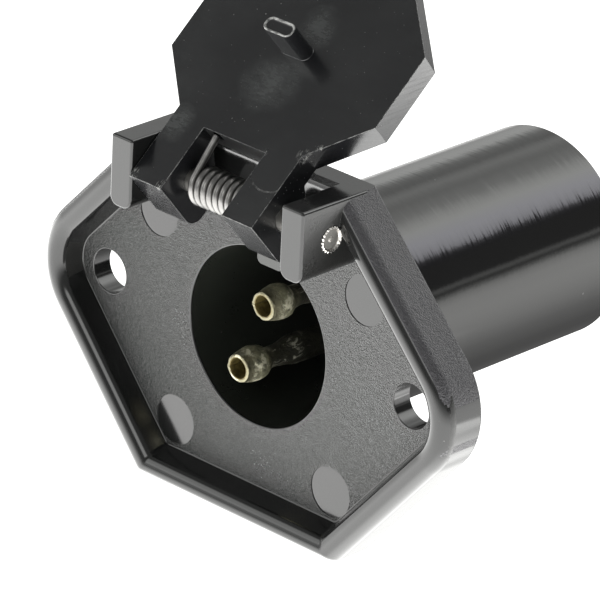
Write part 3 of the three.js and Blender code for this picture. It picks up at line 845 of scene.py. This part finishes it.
def cut_bore(housing):
    """The plug's bore with a rounded mouth, then a wider bore behind."""
    edge, step, end = 0.22, PLUG + 2.0, BARREL_END + 2
    profile = [(0, -6), (BORE_R + edge, -6), (BORE_R + edge, 0.0)]
    profile += mouth(BORE_R, edge, 4)
    profile += [
        (BORE_R, step), (REAR_R, step), (REAR_R, BARREL_END - 0.5),
        (REAR_R + 0.5, BARREL_END), (REAR_R + 0.5, end), (0, end),
    ]
    cut(housing, lathe(profile, 160))


def cut_flange_holes(housing):
    edge = 0.16
    start = FLANGE_BACK - edge
    for s in (1, -1):
        profile = [(0, -8), (HOLE_R + edge, -8), (HOLE_R + edge, 0)]
        profile += mouth(HOLE_R, edge, 3)
        profile += [(HOLE_R, start)]
        profile += [
            (HOLE_R + edge * (1 - cosine), start + edge * sine) for sine, cosine in quarter(3)
        ]
        profile += [(HOLE_R + edge, 8), (0, 8)]
        cut(housing, lathe(profile, 72, x=s * HOLE_X))


def cut_hinge(housing):
    """Relief for the lid's knuckles, and the pin's bore, wider towards its ends."""
    clear = EAR_OUT + 0.03
    cut(housing, hinge_rod(RELIEF_R, 128, -EAR_IN, EAR_IN))
    cut(housing, hinge_rod(PIN_BORE_R, 40, -clear, clear))
    for s in (1, -1):
        cut(housing, hinge_rod(1.88, 48, s * 14.6, s * clear))


def add_key(housing):
    """A rounded rib along the top of the bore."""
    front, back, bottom = 1.8, PLUG - 2.3, 9.1
    key = box(-2.3, 2.3, front, back, bottom, BORE_R + 0.7)
    bevel_edges(key, 0.85, 8, lambda c: c.z < bottom + 0.1 and 3 < c.y < 19)
    bevel_edges(key, 0.12, 3, lambda c: c.y < 1.9)
    join(housing, key)


def housing_material(p):
    """Index in the housing's materials: smooth, floor, wall, barrel, bore, ear."""
    smooth, floor, wall, barrel, bore, ear = range(6)
    centre, normal = p.center, p.normal
    x, y, z = abs(centre.x), centre.y + PLUG, centre.z
    from_axis = hypot(centre.x, z)
    if normal.y < -0.9995 and abs(y) < 0.02:
        return floor
    if y > 0.2 and from_axis < 12.9:
        return bore
    if y < -0.2 and abs(normal.x) > 0.9 and x > EAR_OUT - 0.3:
        return ear
    if y > FLANGE_BACK + 0.02 and from_axis > 13.9:
        return barrel
    out = max(x * UP_COS + z * UP_SIN, x * LOW_COS - z * LOW_SIN)
    if -3.2 < y < 2.8 and out > SIDE_OUT - 1.2 and z > -3 and -0.80 < normal.y < 0.8:
        return wall
    return smooth


def build_housing():
    housing = flange()
    cut(housing, box(-40, 40, -20, 20, TOP_Z, 60))
    add_barrel(housing)
    add_ears(housing)
    cut_bore(housing)
    cut_flange_holes(housing)
    # ejector marks, a touch below the floor
    for x, z in DISCS:
        cut(housing, rod(DISC_R, -0.55, 0.10, 72, x, z))
    cut_hinge(housing)
    # lock screw's hole
    cut(housing, prism(circle(0, LOCK_Y, 1.75, 36), -20, -9, along_z))
    add_key(housing)
    tidy(housing, 0.04)
    materials = [SMOOTH_MAT, FLOOR_MAT, WALL_MAT, BARREL_MAT, BORE_MAT, EAR_MAT]
    finish_piece(housing, "housing", materials, sharp=28,
                 pick=housing_material)


# ---------------------------------------------------------------- lid
def lid_plate():
    """A ten-sided plate, a little smaller on its outer face."""

    def ring(inset, n):
        half = [  # (u, s) of the right side, from the hinge to the far end
            (KNUCKLE_END, 5.63), (KNUCKLE_END, 7.13 + inset * 1.41),
            (17.99 - inset, 14.18 + inset * 0.41), (17.99 - inset, 25.27 - inset * 0.41),
            (5.55 - inset * 0.41, 37.7 - inset),
        ]
        mirrored = [(-u, s) for u, s in reversed(half)]
        return [(u, s, n) for u, s in half[1:] + mirrored + half[:1]]

    return loft([ring(0.26, LID_OUTER), ring(0.0, LID_INNER)], "socket_lid")


def lid_post():
    """An oblong post with a rounded rim round a sunk top."""
    half_length, half_width, corner = 2.5, 1.08, 1.06
    levels = [  # (inset, height)
        (-0.06, LID_INNER - 1), (-0.06, LID_INNER + 0.01), (-0.02, LID_INNER + 0.06),
        (0, LID_INNER + 0.14), (0, POST_TOP - 0.22), (0.05, POST_TOP - 0.08),
        (0.16, POST_TOP), (0.26, POST_TOP - 0.03), (0.34, POST_TOP - 0.16), (0.5, POST_TOP - 0.2),
    ]
    rings = []
    for inset, height in levels:
        outline = filleted([
            (u * (half_length - inset), POST_S + s * (half_width - inset),
             max(corner - inset, 0.05), 10)
            for u, s in ((-1, -1), (1, -1), (1, 1), (-1, 1))
        ])
        rings.append([(u, s, height) for u, s in outline])
    return loft(rings)


def lid_material(p):
    """Index in the lid's materials: gloss, worn post top, dull face between the knuckles."""
    c, normal = p.center, p.normal
    height = -OPEN_SIN * (c.y + PLUG - HINGE_Y) + OPEN_COS * (c.z - HINGE_Z)
    if height > POST_TOP - 0.13:
        return 1
    between = abs(c.x - LID_SHIFT) < 5.6 and height < LID_INNER - 0.05
    return 2 if between and normal.y * OPEN_COS + normal.z * OPEN_SIN < -0.2 else 0


def build_lid():
    lid = lid_plate()
    knuckle = filleted([  # (s, n, radius, segments)
        (8.2, LID_INNER, 0, 0), (-4.1, LID_INNER, 0, 0), (-4.22, -5.45, 2.1, 16),
        (1.3, -5.5, 1.2, 8), (4.9, LID_OUTER, 0, 0), (8.2, LID_OUTER, 0, 0),
    ])
    for start, end in ((-KNUCKLE_END, -5.25), (5.58, KNUCKLE_END)):
        join(lid, prism(knuckle, start, end, along_x))
    tidy(lid, 0.4)
    # slot that holds the spring's free leg
    leg = COIL_START - LID_SHIFT
    cut(lid, box(leg - 0.75, leg + 0.75, 5, 7.0, 2.4, 3.98))
    round_sharp(lid, width=0.13, segments=3, angle=25)
    cut(lid, prism(circle(0, 0, PIN_BORE_R, 36), -13, 13, along_x))
    join(lid, lid_post())
    tidy(lid, 0.2)
    # shallow C-shaped groove beside the right knuckle
    groove = arc(8.6, 4.6, 3.76, 165, 385, 60) + arc(8.6, 4.6, 3.64, 385, 165, 60)
    cut(lid, prism(groove, LID_INNER - 0.035, LID_INNER + 1, along_z))
    lid.data.transform(Matrix((
        (1, 0, 0, LID_SHIFT),
        (0, OPEN_COS, -OPEN_SIN, HINGE_Y),
        (0, OPEN_SIN, OPEN_COS, HINGE_Z),
        (0, 0, 0, 1),
    )))
    finish_piece(lid, "lid", [LID_MAT, POST_MAT, DULL_MAT], sharp=28,
                 body="lid", pick=lid_material)


# ---------------------------------------------------------------- spring
def sweep(path, radius, sides, name):
    """A round wire along a path, with rounded ends."""
    path = [Vector(p) for p in path]
    last = len(path) - 1
    tangents = [
        (path[min(i + 1, last)] - path[max(i - 1, 0)]).normalized() for i in range(last + 1)
    ]
    normal = tangents[0].orthogonal().normalized()
    rings = []

    def ring(centre, tangent, radius):
        side = tangent.cross(normal)
        angles = [2 * pi * k / sides for k in range(sides)]
        rings.append([
            centre + normal * (radius * cos(a)) + side * (radius * sin(a)) for a in angles
        ])

    cap = ((0.0, 0.09), (0.03, 0.03), (0.10, 0.0))  # (distance from the end, inset)
    for distance, inset in cap:
        ring(path[0] + tangents[0] * distance, tangents[0], radius - inset)
    for i in range(1, last + 1):
        tangent = tangents[i]
        normal = (normal - tangent * normal.dot(tangent)).normalized()
        if i < last:
            ring(path[i], tangent, radius)
    for distance, inset in reversed(cap):
        ring(path[-1] - tangents[-1] * distance, tangents[-1], radius - inset)
    return loft(rings, name)


def build_spring():
    """A coil round the hinge pin, with one leg under the lid and one on the housing."""
    free_leg = LID_OPEN + atan(0.168)
    fixed_leg = radians(50)
    first = free_leg + pi / 2
    stop = fixed_leg - pi / 2
    coil_end = COIL_START + COIL_PITCH * COIL_TURNS
    total = 2 * pi * COIL_TURNS + ((stop - first) % (2 * pi)) - 2 * pi

    def leg_point(direction, along, x, leave):
        """A point on a leg that leaves the coil at the angle leave."""
        y = HINGE_Y + COIL_R * cos(leave) + along * cos(direction)
        return (x, y, HINGE_Z + COIL_R * sin(leave) + along * sin(direction))

    path = [leg_point(free_leg, a, COIL_START, first) for a in np.linspace(6.1, 0.3, 24)]
    steps = int(total / (2 * pi) * 48)
    for i in range(steps + 1):
        a = first + total * i / steps
        x = COIL_START + (coil_end - COIL_START) * i / steps
        path.append((x, HINGE_Y + COIL_R * cos(a), HINGE_Z + COIL_R * sin(a)))
    path += [leg_point(fixed_leg, a, coil_end, stop) for a in np.linspace(0.3, 5.7, 22)]
    spring = sweep(path, WIRE_R, 20, "closing_spring")
    # two points on the hinge's axis, in metres, within the coil's length
    y, z = (HINGE_Y - PLUG) * MM, HINGE_Z * MM
    finish_piece(spring, "lid_spring", [SPRING_MAT], sharp=40,
                 blend=("lid", "housing", (-0.0049, y, z), (0.0021, y, z)))


# ---------------------------------------------------------------- hinge pin
def pin_material(p):
    """Bright on the serrated end rims and the centre dimples."""
    radius = hypot(p.center.y + PLUG - HINGE_Y, p.center.z - HINGE_Z)
    return 1 if (radius > 1.34 or radius < 0.33) and abs(p.center.x) > EAR_OUT - 0.6 else 0


def build_pin():
    teeth = 20
    left, right = -EAR_OUT, EAR_OUT + 0.2
    stations = [  # (radius, x, tooth height)
        (0.03, left + 0.10, 0), (0.20, left + 0.12, 0), (0.30, left + 0.26, 0),
        (1.30, left + 0.24, 0), (1.40, left + 0.02, 0.02), (1.52, left - 0.06, 0.10),
        (1.66, left + 0.06, 0.16), (1.68, left + 1.2, 0.15), (1.68, left + 2.0, 0.15),
        (1.50, left + 2.15, 0), (1.50, right - 2.35, 0), (1.68, right - 2.2, 0.15),
        (1.68, right - 0.5, 0.15), (1.66, right - 0.16, 0.16), (1.52, right - 0.02, 0.10),
        (1.40, right - 0.10, 0.02), (1.30, right - 0.30, 0), (0.42, right - 0.34, 0),
        (0.30, right - 0.14, 0), (0.03, right - 0.12, 0),
    ]
    count = teeth * 6
    rings = []
    for radius, x, height in stations:
        ring = []
        for k in range(count):
            a = 2 * pi * k / count
            reach = radius + height * (0.5 + 0.5 * cos(a * teeth)) ** 0.7
            ring.append((x, HINGE_Y + reach * cos(a), HINGE_Z + reach * sin(a)))
        rings.append(ring)
    pin = loft(rings, "hinge_pin_serrated")
    finish_piece(pin, "hinge_pin", [ZINC_MAT, BRIGHT_MAT], sharp=32,
                 pick=pin_material)


# ---------------------------------------------------------------- contacts
CONTACT_PROFILE = [  # (radius, y)
    # bore, from its end to the tip
    (0, 6.2), (0.6, 6.1), (1.10, 5.7), (1.22, 3.0), (1.28, 0.8), (1.33, 0.0), (1.36, -0.45),
    # rolled tip
    (1.38, -0.68), (1.42, -0.74), (1.55, -0.75), (1.76, -0.735), (1.86, -0.67), (1.92, -0.50),
    # bulb
    (1.99, -0.20), (2.08, 0.15), (2.18, 0.55), (2.27, 1.0), (2.33, 1.45), (2.35, 1.9),
    (2.30, 2.35), (2.17, 2.8), (1.97, 3.2), (1.75, 3.55), (1.56, 3.85), (1.46, 4.2),
    # neck and sleeve
    (1.42, 4.7), (1.42, 5.6), (1.46, 6.1), (1.58, 6.8), (1.72, 7.5), (1.86, 8.1),
    (1.95, 8.7), (1.98, 9.2), (1.94, 9.5), (1.98, 10.4), (1.98, 13.0), (1.98, 18.0),
    # collar, clamp body and its rear bore
    (1.98, 25.3), (3.3, 25.3), (3.3, 27.0), (2.95, 27.05), (2.95, 38.4), (2.8, 38.45),
    (1.9, 38.45), (1.9, 28.5), (0, 27.6),
]
TIP_Y, TIP_LEAN = -0.75, 0.42


def dent(contact, x, z, seed):
    """A hand-rolled tube: small dents, a raised seam left of the tip, and a lean to -X."""
    for v in contact.data.vertices:
        p = v.co
        radial = Vector((p.x - x, 0, p.z - z))
        if radial.length < 0.3 or p.y > 20:
            continue
        out = radial.normalized()
        q = Vector((p.x * 0.9 + seed, p.y * 0.8, p.z * 0.9))
        amount = 0.085 * noise.noise(q) + 0.04 * noise.noise(q * 2.7)
        seam = (degrees(atan2(out.z, out.x)) % 360 - 188 + 180) % 360 - 180
        if p.y < 4.5:
            fall = 1.0 if p.y < 0.4 else exp(-(p.y - 0.4) / 1.2)
            amount += 0.17 * exp(-(seam / 9) ** 2) * fall
        amount *= 1.0 if radial.length > 1.45 else 0.6
        if 6.0 < p.y < 12.0:
            q = Vector((p.x * 2.2 + seed, p.y * 1.7, p.z * 2.2))
            amount += 0.12 * noise.noise(q) * exp(-((p.y - 8.8) / 1.6) ** 2)
        v.co = p + out * amount
    for v in contact.data.vertices:
        v.co.x -= TIP_LEAN * max(0.0, 1 - (v.co.y - TIP_Y) / 18.75)
    contact.data.update()


def build_contact(side, seed):
    x, z = CONTACTS[side]
    contact = lathe(CONTACT_PROFILE, 72, x, z, "contact_" + side)
    dent(contact, x, z, seed)
    # the seam's slit
    slit = box(-2.9, -0.9, -1.2, 3.6, -0.035, 0.035)
    turn_about_y(slit, -8)
    shift(slit, x - 0.38, 0, z)
    cut(contact, slit)
    # the clamp screw's hole
    clamp = rod(1.95, 0, 9, 40)
    point_outward(clamp, x, z)
    cut(contact, clamp)
    tidy(contact, 0)

    def pick(p):
        """1 inside the front bore."""
        c = p.center
        lean = 0.40 if c.y < 8 - PLUG else 0.0
        radial = Vector((c.x - x + lean, 0, c.z - z))
        inward = Vector((p.normal.x, 0, p.normal.z)).dot(radial) < -0.02 * radial.length
        return 1 if inward and radial.length < 1.52 and c.y < -PLUG + 6.4 else 0

    finish_piece(contact, "contact_pin_" + side, [BRASS_MAT, BORE_BRASS],
                 sharp=32, pick=pick)


# ---------------------------------------------------------------- carrier and back
def build_carrier():
    front, back = PLUG, CARRIER_BACK
    profile = [
        (0, front + 0.35), (7.6, front + 0.35), (7.8, front + 0.02), (8.0, front),
        (11.55, front), (11.8, front + 0.08), (11.9, front + 0.3), (11.9, front + 2.05),
        (12.3, front + 2.05), (12.42, front + 2.2), (12.42, back - 0.3), (12.15, back), (0, back),
    ]
    carrier = lathe(profile, 128, name="carrier_block")
    for x, z in CONTACTS.values():
        # boss round the contact, the stepped bore through it, and the clamp screw's hole
        boss = [(0, front + 0.2), (3.0, front + 0.2), (3.0, front + 0.02), (2.85, front), (0, front)]
        join(carrier, lathe(boss, 48, x, z))
        cut(carrier, rod(2.1, front - 1, front + 4, 48, x, z))
        cut(carrier, rod(3.38, front + 3.2, back + 1, 48, x, z))
        hole = rod(2.3, 0, 9, 40)
        point_outward(hole, x, z)
        cut(carrier, hole)
    # holes of the centre screw and the lock screw
    cut(carrier, rod(1.15, front + 7, back + 1, 24))
    cut(carrier, prism(circle(0, LOCK_Y, 1.2, 24), -14.6, -8.6, along_z))
    tidy(carrier, 0.2)
    finish_piece(carrier, "contact_carrier", [CARRIER_MAT], sharp=32)


def build_back_plate():
    front, back = PLATE_FRONT, PLATE_BACK
    profile = [
        (0, front), (12.2, front), (12.42, front + 0.2), (12.42, back - 0.3), (12.1, back),
        (0, back),
    ]
    plate = lathe(profile, 128, name="carrier_plate")
    hole = [
        (0, front - 1), (2.3, front - 1), (2.3, back - 0.3), (2.6, back), (2.6, back + 1),
        (0, back + 1),
    ]
    for x, z in CONTACTS.values():
        cut(plate, lathe(hole, 40, x, z))
    cut(plate, rod(1.5, front - 1, back + 1, 28))
    tidy(plate, 0.2)
    finish_piece(plate, "carrier_back_plate", [CARRIER_MAT], sharp=32)


# ---------------------------------------------------------------- screws
def pan_screw(name, shank, head, height, length, recess):
    """A pan-head screw along Y: head up from y = 0, threaded shank below, cross recess.

    shank and head are radii; recess is the half-length of the cross.
    """
    profile = [(0, -length), (shank * 0.35, -length), (shank * 0.55, -length + 0.25)]
    pitch, y = 0.5, -length + 0.7
    while y < -0.6:
        profile += [(shank * 0.84, y), (shank, y + pitch * 0.45), (shank, y + pitch * 0.55)]
        y += pitch
    profile += [
        (shank * 0.86, -0.25), (shank, 0), (head - 0.08, 0), (head, 0.08), (head, height * 0.40),
    ]
    profile += [
        (head * (0.30 + 0.70 * cosine), height * (0.40 + 0.60 * sine))
        for sine, cosine in quarter(8)
    ]
    screw = lathe(profile + [(0, height)], 64, name=name)
    width, bottom = recess / 4.6, height - height * 0.62
    outline = [
        (-recess, height + 1), (-recess, height - 0.15), (-recess * 0.45, bottom),
        (recess * 0.45, bottom), (recess, height - 0.15), (recess, height + 1),
    ]
    for turn in (0, 90):
        slot = prism(outline, -width, width, along_z)
        turn_about_y(slot, turn)
        cut(screw, slot)
    tidy(screw, 0)
    return screw


def build_carrier_screw():
    screw = pan_screw(
        "carrier_screw_cross", shank=1.05, head=2.35, height=1.7, length=9.5, recess=1.35
    )
    turn_about_y(screw, 23)
    shift(screw, 0, PLUG + 19.98, 0)
    finish_piece(screw, "carrier_screw", [ZINC_MAT], sharp=30)


def build_lock_screw():
    screw = pan_screw(
        "lock_screw_cross", shank=1.1, head=2.6, height=1.7, length=4.8, recess=1.45
    )
    turn_about_y(screw, 38)
    screw.data.transform(Matrix.Rotation(radians(-90), 4, "X"))
    shift(screw, 0, LOCK_Y, -BARREL_R - 0.05)
    finish_piece(screw, "carrier_lock_screw", [ZINC_MAT], sharp=30)


def build_clamp_screw(side):
    """A headless slotted screw across the contact's clamp."""
    profile = [(0, 0.4), (1.3, 0.4), (1.75, 0.75)]
    y = 0.95
    while y < 4.0:
        profile += [(1.66, y), (1.9, y + 0.22), (1.9, y + 0.28)]
        y += 0.5
    profile += [(1.75, 4.5), (1.6, 4.6), (0, 4.6)]
    screw = lathe(profile, 48, name="clamp_screw_" + side)
    cut(screw, box(-0.3, 0.3, 3.9, 5.6, -3, 3))
    tidy(screw, 0)
    point_outward(screw, *CONTACTS[side])
    node = "terminal_screw_" + side
    finish_piece(screw, node, [ZINC_MAT], sharp=30, body=node)


# ---------------------------------------------------------------- rear seal
def build_grommet():
    """A ribbed plug in the barrel's end, with a nipple behind each contact."""
    front, end = BARREL_END - 7, BARREL_END
    profile = [(0, front), (11.3, front), (11.6, front + 0.2)]
    for k in range(3):
        y = front + 0.6 + 1.9 * k
        profile += [
            (11.9, y), (12.3, y + 0.25), (12.5, y + 0.6), (12.45, y + 0.9), (12.1, y + 1.15),
            (11.9, y + 1.4),
        ]
    profile += [
        (12.35, end - 0.55), (12.35, end - 0.35), (12.2, end - 0.08), (11.9, end), (10.4, end),
        (10.1, end - 0.12), (9.8, end - 0.35), (9.3, end - 0.4), (0, end - 0.4),
    ]
    seal = lathe(profile, 128, name="rear_seal")
    nipple = [
        (0, end - 1.5), (3.9, end - 1.5), (3.9, end - 0.35), (3.62, end - 0.1),
        (3.5, end + 0.3), (3.38, end + 1.2), (3.46, end + 1.35), (3.46, end + 1.75),
        (3.28, end + 1.9), (3.1, end + 2.9), (3.0, end + 3.9), (2.85, end + 4.12),
        (2.6, end + 4.2), (0, end + 4.2),
    ]
    hole = [
        (0, front - 1), (1.9, front - 1), (1.9, end + 3.9), (2.2, end + 4.2), (2.2, end + 6),
        (0, end + 6),
    ]
    for operation, shape in ((join, nipple), (cut, hole)):
        for x, z in CONTACTS.values():
            operation(seal, lathe(shape, 64 if shape is nipple else 48, x, z))
    tidy(seal, 0.2)
    finish_piece(seal, "rear_grommet", [RUBBER_MAT], sharp=35)


build_housing()
build_lid()
build_spring()
build_pin()
build_contact("upper", seed=3.1)
build_contact("lower", seed=11.7)
build_carrier()
build_back_plate()
build_carrier_screw()
build_lock_screw()
for contact_side in CONTACTS:
    build_clamp_screw(contact_side)
build_grommet()


# ---------------------------------------------------------------- light
# Strip lights behind: (turn about Y as a share of a circle, level). Turn 0 points to -X,
# STRIP_TILT degrees below level, and goes on through down, +X and up.
STRIP_TILT, STRIP_MAX = 32.9, 8
STRIPS = [
    (0.00, 0.10), (0.05, 0.15), (0.12, 0.23), (0.155, 0.34), (0.19, 0.58), (0.22, 0.86),
    (0.25, 1.35), (0.285, 2.05), (0.32, 2.7), (0.35, 3.1), (0.385, 3.2), (0.405, 2.6),
    (0.416, 1.2), (0.427, 0.22), (0.438, 1.15), (0.449, 0.18), (0.522, 0.18), (0.533, 0.6),
    (0.542, 3.2), (0.555, 4.0), (0.58, 4.5), (0.62, 4.4), (0.645, 3.5), (0.675, 2.1),
    (0.72, 1.35), (0.755, 1.5), (0.785, 0.75), (0.82, 0.80), (0.855, 1.4), (0.92, 0.62),
    (0.955, 1.2), (1.0, 0.25),
]
# Soft lamps in front: (direction, full to this angle, gone by this angle, level)
LAMPS = [
    ((-0.63, -0.60, 0.49), 8, 20, 2.4),
    ((0.354, -0.769, 0.530), 7, 17, 3.9),
    ((-0.75, -0.66, 0.0), 8, 30, 1.2),
    ((-0.98, 0.12, -0.03), 14, 34, 1.5),
]
CAMERA_LEVEL = 1.6  # flat level that the camera itself sees


def front_light(t, direction, x, y, z, zones):
    """A bright table below and the lamps above."""
    # the table's bright side: towards -Y, more so to the left
    side = t.minus(t.times(y, -1.0), t.times(x, 0.45))
    side = t.plus(side, t.times(t.larger(t.minus(0.32, x), 0.0), 1.5))
    if zones:
        side = t.plus(side, t.times(zones["right"], 0.85))
    table = t.plus(0.42, t.smooth(side, -0.03, 0.06, high=4.4))
    # dimmer towards the horizon
    table = t.times(table, t.smooth(z, 0.03, -0.36, low=0.20))
    sky = 0.38
    for lamp, full, gone, level in LAMPS:
        dot = t.vmath("DOT_PRODUCT", direction, tuple(Vector(lamp).normalized()))
        sky = t.plus(sky, t.smooth(dot, cos(radians(gone)), cos(radians(full)), high=level))
    above = t.smooth(z, -0.02, 0.10)
    return t.fade(table, above, (sky, above))


def back_light(t, x, z, zones):
    """The strip lights, with the floor's own levels in its zones."""
    cosine, sine = cos(radians(STRIP_TILT)), sin(radians(STRIP_TILT))
    across = t.plus(t.times(x, cosine), t.times(z, sine))
    height = t.minus(t.times(z, cosine), t.times(x, sine))
    turn = t.plus(t.math("DIVIDE", t.math("ARCTAN2", height, across), 2 * pi), 0.5)
    light = t.ramp(turn, *[(place, level / STRIP_MAX) for place, level in STRIPS])
    light = t.times(light, float(STRIP_MAX))
    if zones:
        # steeply falling rays are brightened
        steep = t.times(t.smooth(z, -0.26, -0.36), zones["steep"])
        light = t.times(light, t.plus(1.0, t.times(steep, 2.1)))
        near = zones["near"]
        light = t.fade(light, near, (near, t.smooth(x, -0.15, 0.10, low=2.45, high=5.5)))
    return light


def radiance(t, direction, zones=None):
    """Light level for a direction; zones are masks of places on the floor."""
    x, y, z = t.split(direction)
    front = front_light(t, direction, x, y, z, zones)
    back = back_light(t, x, z, zones)
    behind = t.smooth(y, 0.28, 0.50)
    total = t.fade(front, behind, (back, behind))
    if zones:
        # near-vertical rays at the foot of the flange meet a level of their own
        foot = t.times(zones["foot"], t.smooth(z, -0.70, -0.92))
        wide = t.times(zones["corner"], t.smooth(x, 0.65, 0.30))
        extra = t.times(t.larger(t.smooth(x, 0.20, 0.10), wide), 1.6)
        total = t.fade(total, foot, (foot, t.plus(5.2, extra)))
    return total


def emit(t, kind, colour, level):
    """Gives the level to every ray but the camera's own, which sees a flat level."""
    camera = t.add("ShaderNodeLightPath").outputs["Is Camera Ray"]
    level = t.fade(level, camera, (camera, CAMERA_LEVEL))
    shader = t.add(kind)
    t.put(shader.inputs[0], opaque(colour))
    t.put(shader.inputs[1], level)
    return t.finish(shader)


def floor_material():
    """A floor that glows by the ray's direction and, in zones, by place in metres."""
    t = material_tree("pale_floor")
    x, y, _ = t.split(t.coords)
    near = t.times(t.math("LESS_THAN", y, 0.0015), t.math("GREATER_THAN", x, -0.012))
    incoming = t.add("ShaderNodeNewGeometry").outputs["Incoming"]
    ray = t.scaled(incoming, -1.0)
    # a wedge to the right of the housing counts as near too
    near = t.larger(near, t.times(t.range(x, 0.034, 0.044), t.range(y, 0.036, 0.000)))
    front_right = t.times(t.range(x, 0.038, 0.044), t.range(y, -0.036, -0.030))
    right = t.larger(t.range(x, 0.055, 0.070), front_right)
    beside = t.times(t.range(y, 0.032, 0.026), t.range(x, 0.060, 0.066))
    far = t.range(t.plus(x, y), 0.165, 0.190)
    zones = {
        "near": near,
        "right": right,
        "steep": t.larger(beside, far),
        "foot": t.times(t.range(x, -0.004, 0.006), t.range(y, 0.004, 0.0)),
        "corner": t.range(x, 0.033, 0.036),
    }
    return emit(t, "ShaderNodeEmission", (1.0, 1.0, 0.985), radiance(t, ray, zones))


def build_stage():
    z, count, radius = -0.0250, 48, 3.0
    angles = [2 * pi * k / count for k in range(count)]
    verts = [(0, 0, z)] + [(radius * cos(a), radius * sin(a), z) for a in angles]
    faces = [(0, 1 + k, 1 + (k + 1) % count) for k in range(count)]
    mesh = bpy.data.meshes.new("floor")
    mesh.from_pydata(verts, [], faces)
    floor = bpy.data.objects.new("floor", mesh)
    bpy.context.scene.collection.objects.link(floor)
    mesh.materials.append(floor_material())


def build_world():
    world = bpy.data.worlds.new("studio")
    bpy.context.scene.world = world
    t = Tree(world, "ShaderNodeOutputWorld")
    level = radiance(t, t.add("ShaderNodeTexCoord").outputs["Generated"])
    emit(t, "ShaderNodeBackground", (0.99, 1.0, 0.98), level)


# ---------------------------------------------------------------- camera
def build_camera():
    camera = bpy.data.cameras.new("camera")
    camera.sensor_width, camera.sensor_height = 36.0, 36.0
    camera.lens = 339.03
    camera.clip_start, camera.clip_end = 0.01, 20.0
    ob = bpy.data.objects.new("camera", camera)
    bpy.context.scene.collection.objects.link(ob)
    right = (0.71175, 0.70121, 0.04159)
    up = (-0.31307, 0.26366, 0.91240)
    back = (0.62881, -0.66242, 0.40719)
    place = (0.452755, -0.491310, 0.296130)
    columns = ((*right, 0), (*up, 0), (*back, 0), (*place, 1))
    ob.matrix_world = Matrix(columns).transposed()
    bpy.context.scene.camera = ob


build_stage()
build_world()
build_camera()
view = bpy.context.scene.view_settings
view.view_transform = "Standard"
view.look = "None"
view.exposure = 0.0
view.gamma = 1.0
